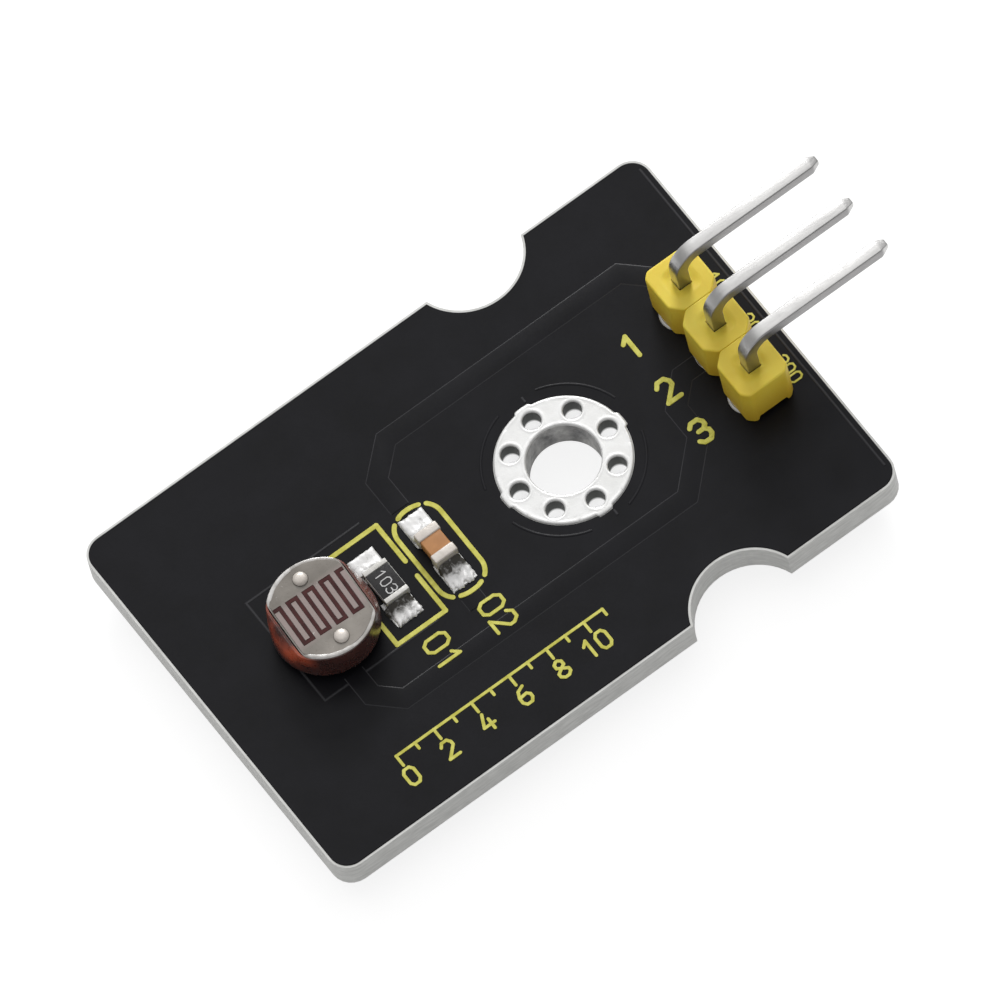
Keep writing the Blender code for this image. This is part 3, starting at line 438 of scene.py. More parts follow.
def mask_rise(flat):
    """How far the mask stands above its plain face at flat points: for the nearest track,
    its height while inside its width, then a cosine down over its shoulder."""
    rise = np.zeros(flat.shape[:-1])
    for path, width in TRACKS + POUR_EDGES + RING_ARCS:
        away = np.full(flat.shape[:-1], np.inf)
        for first, last in zip(path[:-1], path[1:]):
            run = last - first
            share = np.clip(((flat - first) @ run) / (run @ run), 0, 1)
            gap = np.linalg.norm(flat - first - share[..., None] * run, axis=-1)
            away = np.minimum(away, gap)
        fall = np.clip((away - width / 2) / TRACK_SHOULDER, 0, 1)
        rise = np.maximum(rise, TRACK_HEIGHT * (0.5 + 0.5 * np.cos(np.pi * fall)))
    return rise


def track_profile(width, number):
    """Across a covered track: a low plateau whose shoulders fall away as a cosine. Each
    track lies a hair higher than the one before, so that no two faces share a plane."""
    fall = np.linspace(0, 1, 7)
    height = TRACK_HEIGHT * (0.5 + 0.5 * np.cos(np.pi * fall))
    right = np.stack([width / 2 + TRACK_SHOULDER * fall, height], 1)
    left = (right * (-1, 1))[::-1]
    base = mask_top - RELIEF_SINK + number * RELIEF_STEP
    return np.concatenate([left, right]) + (0, base)


def paint_points(piece, name, values):
    """Store one value for each point of a piece."""
    field = piece.data.attributes.new(name, "FLOAT", "POINT")
    field.data.foreach_set("value", np.asarray(values, np.float32))


def point_places(piece):
    """All points of a piece in millimetres."""
    places = np.zeros(len(piece.data.vertices) * 3)
    piece.data.vertices.foreach_get("co", places)
    return places.reshape(-1, 3) / MM


def stored(tree, name):
    """The value that paint_points stored under a name."""
    return add_node(tree, "ShaderNodeAttribute", attribute_name=name).outputs["Fac"]


def tint(material, mask, colour):
    """Mix a colour over a finish's own where a mask stands. The mask is a socket, or the
    name of a stored value."""
    tree = material.node_tree
    base = tree.nodes["Principled BSDF"].inputs["Base Color"]
    mask = stored(tree, mask) if isinstance(mask, str) else mask
    tree.links.new(mix_colours(tree, mask, base.links[0].from_socket, colour), base)
    return material


# the same black ink, painted grey over the tracks' shoulders and fine lines: a painted sheen where the
# mask slopes over copper, partly the ink thinning there
mask_with_painted_sheen = tint(black_mask.copy(), "thin", (0.050, 0.050, 0.054))
mask_with_painted_sheen.name = "black_mask_over_tracks"
for name, lanes, strength in LINES:
    relief = Shape()
    for number, (path, width) in enumerate(lanes):
        relief.grid(carry_profile(path, track_profile(width, number)), caps=True)
    ridges = make_piece(name, relief, mask_with_painted_sheen)
    share = np.clip((point_places(ridges)[:, 2] - mask_top + RELIEF_SINK) / TRACK_HEIGHT, 0, 1)
    if lanes is TRACKS:
        # painted sheen, greyest halfway down a track's shoulder
        share = np.clip(4.4 * share * (1 - share), 0, 1)
    paint_points(ridges, "thin", strength * share)

# Fixing hole: a tinned copper ring on both faces, joined by a plated bore and by eight
# small stitching holes drilled and plated through the ring.
BORE_RADIUS = 1.65
VIA_RADIUS = 0.415
VIA_CIRCLE_RADIUS = 2.36
VIA_COUNT = 8
BOARD_FACES = ((board_top, 1), (board_bottom, -1))
RING_THICKNESS = 0.075
RING_RIM = 0.07
BARREL_WALL = 0.05

tinned_copper = make_finish(
    "hot_air_tinned_copper", (0.73, 0.73, 0.72), (0.81, 0.81, 0.805), (0.36, 0.5), (1.2, 7.0),
    (0.25, 0.02), Metallic=0.5,
)
bore_tin = make_finish(
    "bore_tin", (0.10, 0.10, 0.10), (0.40, 0.395, 0.385), (0.35, 0.6), (1.6, 5.0),
    (0.9, 0.06), stretch=(1.0, 1.0, 0.6), Metallic=0.5,
)


def reckon(tree, operation, *values):
    """What a math node makes of one or two values, such as the larger of them."""
    return add_node(tree, "ShaderNodeMath", dict(enumerate(values)), operation=operation).outputs[0]


def object_axis(tree, axis):
    """One of the object's own coordinates."""
    place = add_node(tree, "ShaderNodeTexCoord").outputs["Object"]
    return add_node(tree, "ShaderNodeSeparateXYZ", {"Vector": place}).outputs[axis]


def make_via_tin():
    """Tin in the narrow bores: smooth and bright in the lower half, and painted a dull dark grey above
    it. This split is painted light and shade: the lower wall as if lit from the floor through the hole,
    the upper wall in its shade."""
    material = make_finish(
        "via_tin_painted_light", (0.93, 0.93, 0.93), (0.98, 0.98, 0.98), (0.08, 0.14), (1.6, 5.0), (0.1, 0.01),
        Metallic=1.0,
    )
    tree = material.node_tree
    middle = (board_bottom + board_top) / 2
    upper = spread(tree, object_axis(tree, "Z"), (middle - 0.12) * MM, (middle + 0.12) * MM)
    rough = tree.nodes["Principled BSDF"].inputs["Roughness"]
    dull = spread(tree, upper, 0.0, 1.0, 0.12, 0.55)
    tree.links.new(reckon(tree, "MAXIMUM", dull, rough.links[0].from_socket), rough)
    # painted shade: the upper half of each bore tinted dark grey over the bright tin
    return tint(material, upper, (0.09, 0.095, 0.09))


def sector_grid(rows, columns):
    """One eighth of the ring as rays from its via's edge to the eighth's boundary. Along a
    ray the points crowd towards both ends as a cosine. Rays pass through all four corners,
    and are even in angle between them, so that neighbours' edges meet point for point."""
    half = np.pi / VIA_COUNT
    outer_angle, inner_angle = (
        np.arctan2(radius * np.sin(half), radius * np.cos(half) - VIA_CIRCLE_RADIUS)
        for radius in (RING_OUTER_RADIUS, BORE_RADIUS)
    )
    turns = [-outer_angle, outer_angle, inner_angle, 2 * np.pi - inner_angle, 2 * np.pi - outer_angle]
    angle = np.concatenate([
        np.linspace(a, b, columns, endpoint=False) for a, b in zip(turns[:-1], turns[1:])
    ])
    ray = rays(angle)
    normal = np.array([[-np.sin(half), np.cos(half)], [-np.sin(half), -np.cos(half)]])
    height = VIA_CIRCLE_RADIUS * np.sin(half)
    toward = ray @ normal.T
    lines = np.where(toward > 1e-9, height / np.maximum(toward, 1e-9), np.inf)
    along = VIA_CIRCLE_RADIUS * ray[:, 0]
    far = -along + np.sqrt(along ** 2 - VIA_CIRCLE_RADIUS ** 2 + RING_OUTER_RADIUS ** 2)
    inside = along ** 2 - VIA_CIRCLE_RADIUS ** 2 + BORE_RADIUS ** 2
    near = np.where((inside >= 0) & (along < 0), -along - np.sqrt(np.maximum(inside, 0)), np.inf)
    reach = np.minimum(np.minimum(lines.min(1), far), near)
    share = 0.5 - 0.5 * np.cos(np.pi * np.linspace(0, 1, rows))
    distance = VIA_RADIUS + share[:, None] * (reach - VIA_RADIUS)[None, :]
    return np.array([VIA_CIRCLE_RADIUS, 0.0]) + distance[:, :, None] * ray[None, :, :]


def spun(flat, angle):
    """Flat points turned about the origin, all by one angle or each by its own."""
    x, y = flat[..., 0], flat[..., 1]
    across = x * np.cos(angle) - y * np.sin(angle)
    return np.stack([across, x * np.sin(angle) + y * np.cos(angle)], -1)


def ring_shape():
    """The ring on both faces and the walls of its holes. A face's height falls to nothing
    at each edge as a quarter of an ellipse."""
    shape = Shape()
    flat = sector_grid(22, 24)
    radius = np.linalg.norm(flat, axis=2)
    via = np.linalg.norm(flat - (VIA_CIRCLE_RADIUS, 0), axis=2) - VIA_RADIUS
    edge = np.minimum(np.minimum(RING_OUTER_RADIUS - radius, radius - BORE_RADIUS), via)
    share = np.clip(edge / RING_RIM, 0, 1)
    rise = RING_THICKNESS * np.sqrt(np.clip(1 - (1 - share) ** 2, 0, 1))
    rise += 0.010 * np.exp(-((edge - 0.11) / 0.05) ** 2) * share
    for angle in all_round(VIA_COUNT):
        sector = spun(flat, angle)
        polar = np.arctan2(sector[:, :, 1], sector[:, :, 0])
        push = spoke_reach(polar) * soft_step(radius, RING_OUTER_RADIUS - 0.3, RING_OUTER_RADIUS)
        place = fixing_centre + sector * (1 + push / radius)[:, :, None]
        for level, outward in BOARD_FACES:
            foot = np.full(rise.shape, level + outward * SKIN_GAP)
            for height in (foot, foot + outward * rise):
                shape.grid(np.dstack([place, height]))
    return shape


def turned(middle, radius, height, angle):
    """A profile turned about an upright axis: rows of the middle plus a radius times the
    rays, at a height. A row's radius and height may be one value or one for each angle."""
    size = (len(height), len(angle))
    radius, height = (np.broadcast_to(np.reshape(v, (size[0], -1)), size) for v in (radius, height))
    return np.dstack([middle + radius[:, :, None] * rays(angle), height])


def barrels(centres, radius, sides):
    """The plated walls of holes: each a narrow rectangle turned round its hole's axis."""
    shape = Shape()
    radii = [radius, radius, radius + BARREL_WALL, radius + BARREL_WALL]
    heights = [board_bottom, board_top, board_top, board_bottom]
    for centre in centres:
        shape.grid(turned(centre, radii, heights, all_round(sides)), round_rows=True)
    return shape


make_piece("plated_ring", ring_shape(), tinned_copper, ["fixing_hole_plating"])
make_piece("plated_bore", barrels([fixing_centre], BORE_RADIUS, 128), bore_tin)
via_centres = fixing_centre + VIA_CIRCLE_RADIUS * rays(all_round(VIA_COUNT))
make_piece("plated_vias", barrels(via_centres, VIA_RADIUS, 48), make_via_tin())

# Pin header: one moulded row of nylon cells with cut corners, pressed onto three square
# tinned pins whose long ends are bent over the board's edge. The tails are soldered
# into oval plated holes.
PIN_PITCH = 2.54
PIN_HALF = 0.32
PIN_BEND_RADIUS = 1.0
PIN_TIP = 0.45
PIN_EDGE = 0.07
CELL_CUT = 0.52
CELL_END_CUT = 0.3
CELL_EDGE = 0.09
CELL_JOIN_EDGE = 0.3
DISH_DEPTH = 0.12
DISH_EDGES = (0.36, 0.80)
CHANNEL_EDGES = (0.70, 0.80)
CHANNEL_HEIGHT = 0.25
WALL_LINE = 0.25
HOLE_POWER = 60
CELL_POWER = 46
JOINT_GAP = 0.06

# moulded nylon, with its walls painted a warmer, deeper yellow than the open top: painted shade on the
# sides, which face away from the light
nylon = tint(make_finish(
    "yellow_nylon", (0.83, 0.62, 0.05), (0.91, 0.73, 0.085), (0.42, 0.55), (0.5, 6.0),
    (0.22, 0.012), Subsurface_Weight=0.12, Subsurface_Radius=(0.0005, 0.0003, 0.00006),
    Subsurface_Scale=1.0,
), "wall", (0.72, 0.45, 0.03))
# tin drawn along the wire: bright on two faces, with the two sides that face along the row painted a
# duller grey as shade
pin_tin = tint(make_finish(
    "drawn_pin_tin", (0.50, 0.495, 0.49), (0.66, 0.655, 0.645), (0.30, 0.46), (1.2, 9.0),
    (0.25, 0.02), stretch=(0.25, 1.0, 1.0), Metallic=1.0,
), "painted_side_shade", (0.30, 0.295, 0.295))
solder_tin = make_finish(
    "solder_joint", (0.55, 0.55, 0.55), (0.78, 0.78, 0.775), (0.22, 0.5), (1.5, 5.0),
    (0.6, 0.05), Metallic=0.85,
)
housing_low, housing_high = node_box("header_housing")
header_x = node_middle("header_housing")[0]
pin_places = [(header_x, row * PIN_PITCH) for row in (1, 0, -1)]


def soft_reach(angle, sides, softness):
    """How far a convex outline reaches in each direction: the soft least, by a power mean,
    of the distances to its sides. A side is its own direction and distance."""
    direction, distance = np.array(sides, float).T
    facing = np.maximum(np.cos(angle[..., None] - direction), 0)
    return ((facing / distance) ** softness).sum(-1) ** (-1 / softness)


def cell_sides(first, last, inset):
    """The eight sides of a header cell. Where it joins its neighbour a side is drawn in
    less, and its corners are cut deeper."""
    half = PIN_PITCH / 2
    depth = (housing_high[0] - housing_low[0]) / 2
    sides = [(0, depth - inset), (np.pi, depth - inset)]
    for way, end in ((1, first), (-1, last)):
        sides.append((way * np.pi / 2, half - inset * (1 if end else CELL_JOIN_EDGE)))
        cut = depth + half - (CELL_END_CUT if end else CELL_CUT)
        for turn in (np.pi / 4, 3 * np.pi / 4):
            sides.append((way * turn, cut / np.sqrt(2) - inset))
    return sides


def housing_cell(place, first, last):
    """A cell as a ring of rows round its pin: out over the dished top, down over a
    rounded edge, and back under the foot, whose channel lifts it between two rails."""
    inner, outer = CHANNEL_EDGES
    rails = np.arctan2(PIN_PITCH / 2, np.array([-outer, -inner, inner, outer]))
    angle = np.linspace(-np.pi, np.pi, 160, endpoint=False)
    angle = np.unique(np.concatenate([angle, rails, -rails]))
    hole_sides = [(turn * np.pi / 2, PIN_HALF + 0.02) for turn in range(4)]
    hole = soft_reach(angle, hole_sides, HOLE_POWER)
    round_off = np.linspace(0, np.pi / 2, 7)
    edge = np.stack([
        soft_reach(angle, cell_sides(first, last, CELL_EDGE * (1 - np.sin(turn))), CELL_POWER)
        for turn in round_off
    ])
    share = np.linspace(0, 1, 22) ** 1.3
    top = hole + share[:, None] * (edge[0] - hole)
    reach = np.concatenate([top, edge[1:], edge[-1:], edge[-1:], hole[None]])
    flat = reach[:, :, None] * rays(angle)
    across = (flat ** 4).sum(2) ** 0.25
    height = housing_high[2] - DISH_DEPTH * (1 - soft_step(across, *DISH_EDGES))
    fall = CELL_EDGE * (1 - np.cos(round_off[1:]))
    height[len(top):len(top) + len(fall)] = housing_high[2] - fall[:, None]
    channel = CHANNEL_HEIGHT * (1 - soft_step(np.abs(flat[:, :, 0]), *CHANNEL_EDGES))
    height[-3] = housing_low[2] + channel[-3] + WALL_LINE
    height[-2:] = housing_low[2] + channel[-2:]
    return np.dstack([flat + np.array(place), height])


cells = Shape()
for number, place in enumerate(pin_places):
    cells.grid(housing_cell(place, number == 0, number == 2), round_rows=True)
cells = make_piece("header_cells", cells, nylon, ["header_housing"], 30)
# painted shade: the colour deepens from just below the top towards the foot
fall = housing_high[2] - point_places(cells)[:, 2]
paint_points(cells, "wall", 0.8 * soft_step(fall, DISH_DEPTH + 0.02, DISH_DEPTH + 0.5))


def pin_sweep(node):
    """A rounded square carried up from the tail, round the bend and out to the tip. Both
    ends narrow to a blunt point."""
    low, high = node_box(node)
    axis_z = high[2] - PIN_HALF
    centre_x = low[0] + PIN_HALF
    turn = np.linspace(0, np.pi / 2, 15)
    bend_x = centre_x + PIN_BEND_RADIUS * (1 - np.cos(turn))
    bend_z = axis_z - PIN_BEND_RADIUS * (1 - np.sin(turn))
    tip = PIN_TIP * np.array([0, 0.06, 0.2, 0.6, 0.9, 1.0])
    narrow = np.array([0.42, 0.52, 0.60, 0.82, 0.97, 1.0])
    still = np.zeros(len(tip))
    x = np.concatenate([centre_x + still, bend_x, high[0] - tip[::-1]])
    z = np.concatenate([low[2] + tip, bend_z, axis_z + still])
    lean = np.concatenate([still, turn, still + np.pi / 2])
    size = np.concatenate([narrow, np.ones(len(turn)), narrow[::-1]])
    section = round_rectangle((-PIN_HALF, -PIN_HALF), (PIN_HALF, PIN_HALF), PIN_EDGE, 0.0, 4)
    side, across = section.T[:, None, :] * size[:, None]
    return np.dstack([
        x[:, None] - side * np.cos(lean)[:, None],
        (low[1] + high[1]) / 2 + across,
        z[:, None] + side * np.sin(lean)[:, None],
    ])


for number in (1, 2, 3):
    pin = Shape().grid(pin_sweep(f"header_pin_{number}"), caps=True)
    pin = make_piece(f"bent_pin_{number}", pin, pin_tin, [f"header_pin_{number}"], 30)
    aside = np.abs(point_places(pin)[:, 1] - pin_places[number - 1][1])
    # painted shade on the wire's two sides that face along the row
    paint_points(pin, "painted_side_shade", soft_step(aside, PIN_HALF - 0.05, PIN_HALF - 0.01))


def land_face(node, hole_radius, level, outward, bare=None):
    """An oval land as rays from its hole to its edge. Its face swells like a cushion, with
    a shallow gutter inside the rim. The mask may leave only a round of it bare."""
    low, high = node_box(node)
    half = (high[:2] - low[:2]) / 2 if bare is None else np.array([bare, bare])
    ray = rays(all_round(72))
    straight = half[0] - half[1]
    along = np.abs(ray[:, 0]) * straight
    arc_reach = along + np.sqrt(np.maximum(along ** 2 - straight ** 2 + half[1] ** 2, 0))
    side_reach = half[1] / np.maximum(np.abs(ray[:, 1]), 1e-6)
    reach = np.where(side_reach * np.abs(ray[:, 0]) < straight, side_reach, arc_reach)
    share = np.array([0, 0.08, 0.2, 0.4, 0.6, 0.72, 0.8, 0.86, 0.92, 0.97, 1.0])
    height = np.array([0.0, 0.06, 0.075, 0.08, 0.075, 0.06, 0.035, 0.045, 0.06, 0.04, 0.0])
    distance = hole_radius + share[:, None] * (reach - hole_radius)
    flat = node_middle(node) + distance[:, :, None] * ray
    rise = np.broadcast_to(height[:, None], distance.shape)
    return [np.dstack([flat, level + outward * (SKIN_GAP + rise * lift)]) for lift in (0, 1)]


def joint_cone(middle, inner, outer, low, high):
    """A solder joint below the board, turned round the wire: hollow in the flank, a little
    fuller on one side, and closed inside the wire."""
    angle = all_round(40)
    climb = np.linspace(0, np.pi / 2, 12)
    radius = inner + (outer - inner) * (1 - np.sin(climb)) ** 0.9
    height = high - (high - low) * (1 - np.cos(climb)) ** 0.9
    radius = np.concatenate([[0.3 * inner, outer * 0.9], radius, [0.3 * inner]])
    height = np.concatenate([[high + 0.03, high + 0.03], height, [low]])
    wave = 1 + 0.05 * np.sin(angle + 0.7) + 0.02 * np.sin(3 * angle)
    return turned(middle, radius[:, None] * wave, height, angle)


def soldered_holes(part, name, middles, radii, bare=None):
    """The lands of a part's plated holes on both faces, and the joints below them. radii
    are the hole's, then the joint's at its wire and at its land. bare is the round that
    the mask leaves of the upper land."""
    hole, inner, outer = radii
    lands = Shape()
    joints = Shape()
    numbers = range(1, len(middles) + 1)
    for number, middle in zip(numbers, middles):
        for level, outward in BOARD_FACES:
            for face in land_face(
                f"{part}_pad_{number}", hole, level, outward, bare if outward > 0 else None
            ):
                lands.grid(face)
        low = node_box(f"{part}_solder_{number}")[0][2]
        joints.grid(joint_cone(middle, inner, outer, low, board_bottom - JOINT_GAP), caps=True)
    for kind, shape, finish, slot, node in (
        ("lands", lands, tinned_copper, "tinned_copper", "pad"),
        ("joints", joints, solder_tin, "solder", "solder"),
    ):
        replaced = [f"{part}_{node}_{number}" for number in numbers]
        make_piece(f"{name}_{kind}", shape, finish, replaced)


soldered_holes("header", "header", pin_places, (0.55, 0.40, 0.82))

# Photocell: a pressed ceramic chip with two flats, its comb electrodes and dark track
# under clear lacquer, cast into a round red resin cup on two headed lead wires.
CUP_SHOULDER_HALF = 1.99
CUP_SHOULDER_DROP = 1.0
CUP_FOOT = 0.5
CUP_LIP = 0.07
PHOTOCELL_TURN = -3.0
CHIP_FLAT_HALF = 1.86
FLAT_POWER = 36.0
BEAD_HEIGHT = 0.07

cup_low, cup_high = node_box("photocell_cup")
chip_low, chip_high = node_box("photocell_chip")
cell_middle = node_middle("photocell_cup")


def patches(tree, scale, detail, between, to=(0.0, 1.0), **more):
    """Noise in the object's own millimetres, carried from one range to another."""
    place = add_node(tree, "ShaderNodeTexCoord").outputs["Object"]
    inputs = {"Vector": place, "Scale": scale / MM, "Detail": detail, **more}
    noise = add_node(tree, "ShaderNodeTexNoise", inputs).outputs["Fac"]
    return spread(tree, noise, *between, *to)


def make_red_resin():
    """Thick red resin, dark where it is deep, with slow streaks and a wet gloss. Orange is painted on
    the shoulder over the flats where the stored share stands: painted light, strongest on the -X side,
    where the resin is thin."""
    material = make_finish(
        "red_resin", (0.054, 0.022, 0.019), (0.100, 0.036, 0.030), (0.18, 0.40), (0.55, 2.2),
        (0.25, 0.03), Coat_Weight=0.6, Coat_Roughness=0.16, Subsurface_Weight=0.15,
        Subsurface_Radius=(0.0012, 0.0003, 0.0002), Subsurface_Scale=1.0,
    )
    tree = material.node_tree
    streak = patches(tree, 0.8, 2.0, (0.36, 0.58))
    painted_shoulder_light = reckon(tree, "MULTIPLY", stored(tree, "thin"), streak)
    return tint(material, painted_shoulder_light, (0.52, 0.10, 0.045))


def flatted_reach(angle, radius, flat):
    """The outline of a round with two flats across X, its corners eased by a power mean."""
    facing = np.maximum(np.abs(np.cos(angle)), 1e-3)
    return (radius ** -FLAT_POWER + (flat / facing) ** -FLAT_POWER) ** (-1 / FLAT_POWER)


def cup_surface():
    """Rows of the flatted outline from the foot's middle, out round its radius, up the
    wall, over the lip and down to the chip's seat. Above the shoulder the flats lean in."""
    angle = all_round(144)
    full = (cup_high[0] - cup_low[0]) / 2
    turn = np.linspace(0, np.pi / 2, 10)
    foot_radius = full - CUP_FOOT * (1 - np.sin(turn))
    foot_height = cup_low[2] + CUP_FOOT * (1 - np.cos(turn))
    wall_height = np.linspace(foot_height[-1], cup_high[2] - CUP_LIP, 16)[1:]
    lip_radius = full - CUP_LIP * (1 - np.cos(turn[1:]))
    lip_height = cup_high[2] - CUP_LIP * (1 - np.sin(turn[1:]))
    radius = np.concatenate([
        [0.02, full * 0.5], foot_radius, np.full(len(wall_height), full), lip_radius,
        [full - 0.09, full - 0.12, full * 0.5, 0.02],
    ])
    seat = cup_high[2] - 0.3
    height = np.concatenate([
        [cup_low[2]] * 2, foot_height, wall_height, lip_height,
        [cup_high[2] - 0.02, seat, seat, seat],
    ])
    slope = (full - CUP_SHOULDER_HALF) / CUP_SHOULDER_DROP
    flat = CUP_SHOULDER_HALF + slope * (cup_high[2] - height) + np.minimum(radius - full, 0)
    reach = flatted_reach(angle, radius[:, None], np.maximum(flat, 0.02)[:, None])
    return turned(cell_middle, reach, height, angle)


def coat_share(angle):
    """How far the coat's bead stands up round the chip: thick towards one end and thin on
    two stretches, with a fine ripple."""
    turns = [-180, -140, -112, -92, -72, -50, -28, 0, 50, 70, 88, 110, 140, 180]
    share = [0.7, 0.9, 1.0, 0.85, 0.22, 0.5, 1.0, 0.6, 0.55, 0.45, 0.8, 1.15, 1.1, 0.7]
    smooth = np.interp(np.degrees(angle), turns, share, period=360)
    return smooth + 0.08 * np.sin(11 * angle + 1) + 0.06 * np.sin(23 * angle)


def chip_surface():
    """The ceramic slip with its coat: rows of the flatted outline up the wall and in over
    the face. The coat stands in a bead inside the round edge, and thins at the flats."""
    angle = all_round(192)
    full = (chip_high[1] - chip_low[1]) / 2
    inset = np.array([
        0.10, 0.03, 0.0, 0.0, -0.05, -0.08, -0.07, -0.03, 0.03, 0.09, 0.15, 0.22, 0.30, 0.9,
        full - 0.02,
    ])
    share = np.array([0.0, 0.0, 0.05, 0.94, 0.95, 0.97] + [1.0] * 9)
    bead = np.array([0.0] * 5 + [0.1, 0.45, 0.85, 1.0, 0.8, 0.45, 0.15, 0.04, 0.0, 0.0])
    flat_inset = np.maximum(CHIP_FLAT_HALF - np.maximum(inset, 0), 0.02)
    reach = flatted_reach(angle, full - inset[:, None], flat_inset[:, None])
    rounded = soft_step(CHIP_FLAT_HALF - np.abs(reach[3] * np.cos(angle)), 0.02, 0.25)
    swell = BEAD_HEIGHT * bead[:, None] * (0.15 + 0.85 * rounded * coat_share(angle))
    height = chip_low[2] + share * (chip_high[2] - chip_low[2])
    return turned(cell_middle, reach, height[:, None] + swell, angle)


def twist(points):
    """The photocell leans out of square: a turn about its own axis that grows from none at
    the board to its full angle at the cup's foot."""
    flat = points[..., :2] - cell_middle
    angle = np.radians(PHOTOCELL_TURN) * soft_step(points[..., 2], board_top, cup_low[2] + CUP_FOOT)
    return np.concatenate([spun(flat, angle) + cell_middle, points[..., 2:]], -1)


cup = Shape().grid(twist(cup_surface()), caps=True)
cup = make_piece("resin_cup", cup, make_red_resin(), ["photocell_cup"], 50)
places = point_places(cup)
beside = places[:, 0] - cell_middle[0]
# painted light: orange on the upper shoulder, full on the -X side and faint on the +X side
shoulder = soft_step(-beside, 1.45, 2.1) + 0.2 * soft_step(beside, 1.5, 2.2)
shoulder *= soft_step(places[:, 2], cup_high[2] - 1.6, cup_high[2] - 0.6)
paint_points(cup, "thin", shoulder)


def make_chip_face():
    """Greenish grey fired ceramic under lacquer, milk white where the lacquer stands in a
    bead round the edge."""
    material = make_finish(
        "chip_ceramic", (0.125, 0.108, 0.088), (0.31, 0.285, 0.25), (0.30, 0.5), (0.6, 9.0),
        (0.3, 0.02), Coat_Weight=0.7, Coat_Roughness=0.12,
    )
    tree = material.node_tree
    patch = patches(tree, 2.2, 3.0, (0.35, 0.55), (0.45, 1.0))
    milk = reckon(tree, "MULTIPLY", stored(tree, "bead"), patch)
    return tint(material, milk, (0.70, 0.68, 0.66))


chip = Shape().grid(twist(chip_surface()), caps=True)
chip = make_piece("coated_chip", chip, make_chip_face(), ["photocell_chip"], 50)
places = point_places(chip)
x, y = (places[:, :2] - cell_middle).T
full = (chip_high[1] - chip_low[1]) / 2
bead = soft_step(np.hypot(x, y), full - 0.24, full - 0.07) * (places[:, 2] > chip_high[2] - 0.1)
bead *= 0.2 + 0.8 * (1 - soft_step(np.abs(x), 1.6, 1.84))
paint_points(chip, "bead", bead * np.clip(0.15 + coat_share(np.arctan2(y, x)), 0, 1))


def make_electrode_film():
    """Metal film under lacquer: brownish grey, with a rose tint between the legs of the
    track and pale specks."""
    material = make_finish(
        "electrode_film", (0.125, 0.107, 0.087), (0.31, 0.28, 0.245), (0.22, 0.5), (0.6, 8.0),
        (0.35, 0.02), Coat_Weight=0.7, Coat_Roughness=0.1,
    )
    tree = material.node_tree
    away = reckon(tree, "ABSOLUTE", object_axis(tree, "Y"))
    tint(material, spread(tree, away, 1.25 * MM, 0.85 * MM), (0.29, 0.225, 0.21))
    return tint(material, patches(tree, 3.4, 2.0, (0.70, 0.80)), (0.50, 0.47, 0.44))


light_film = make_finish(
    "light_film", (0.048, 0.017, 0.017), (0.088, 0.028, 0.027), (0.4, 0.55), (1.5, 6.0),
    (0.2, 0.01), Specular_IOR_Level=0.12,
)
lead_tin = make_finish(
    "lead_head_tin", (0.56, 0.51, 0.46), (0.74, 0.69, 0.64), (0.3, 0.5), (1.6, 5.0),
    (0.4, 0.03), Metallic=0.35, Coat_Weight=0.4,
)
electrode_film = make_electrode_film()
for node, name, finish, slot in (
    ("photocell_track", "light_track", light_film, "photocell_track"),
    ("photocell_electrode_1", "comb_film_1", electrode_film, "photocell_electrode"),
    ("photocell_electrode_2", "comb_film_2", electrode_film, "photocell_electrode"),
):
    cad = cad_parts[node]
    film = Shape()
    film.add(twist(point_places(cad)), [list(face.vertices) for face in cad.data.polygons])
    make_piece(name, film, finish, [node])


def lead_surface(middle, low, high, head_low):
    """A headed wire turned round its axis: a flattened dome, a thin brim, the shank and a
    blunt tail."""
    turn = np.linspace(0.06, np.pi / 2, 10)
    radius = np.concatenate([0.34 * np.sin(turn), [0.33, 0.25, 0.25, 0.20, 0.13]])
    dome = head_low + 0.03 + (high - head_low - 0.03) * np.cos(turn) ** 0.8
    height = np.concatenate([dome, [head_low, head_low, low + 0.12, low + 0.03, low]])
    return twist(turned(middle, radius, height, all_round(40)))


leads = Shape()
lead_middles = [node_middle(f"photocell_lead_{number}") for number in (1, 2)]
for number, middle in enumerate(lead_middles, 1):
    low, high = node_box(f"photocell_lead_{number}")
    leads.grid(lead_surface(middle, low[2], high[2], chip_high[2] + 0.02), caps=True)
make_piece("headed_leads", leads, lead_tin, ["photocell_lead_1", "photocell_lead_2"])
soldered_holes("photocell", "lead", lead_middles, (0.40, 0.29, 0.73), BARE_LEAD_LAND)

# Chip resistor: a slip of alumina with a black glass glaze over its film and a wrapped
# tinned end on each short side, laid in solder paste on two lands and reflowed.
RESISTOR_SHIFT = 0.1
SOLDER_BEAD = 0.11
BLOCK_STEPS = 5

alumina = make_finish(
    "alumina", (0.62, 0.62, 0.60), (0.75, 0.75, 0.73), (0.45, 0.6), (2.0, 9.0), (0.2, 0.01),
)
black_glaze = make_finish(
    "black_glaze", (0.010, 0.010, 0.011), (0.024, 0.022, 0.023), (0.22, 0.4), (1.2, 7.0),
    (0.3, 0.02), Specular_IOR_Level=0.35,
)
chip_tin = make_finish(
    "chip_end_tin", (0.60, 0.59, 0.56), (0.74, 0.73, 0.71), (0.35, 0.55), (1.8, 8.0),
    (0.4, 0.03), Metallic=0.3,
)
code_ink = make_finish(
    "white_code_ink", (0.52, 0.52, 0.52), (0.72, 0.72, 0.72), (0.5, 0.6), (3.0, 9.0), (0.2, 0.01),
)


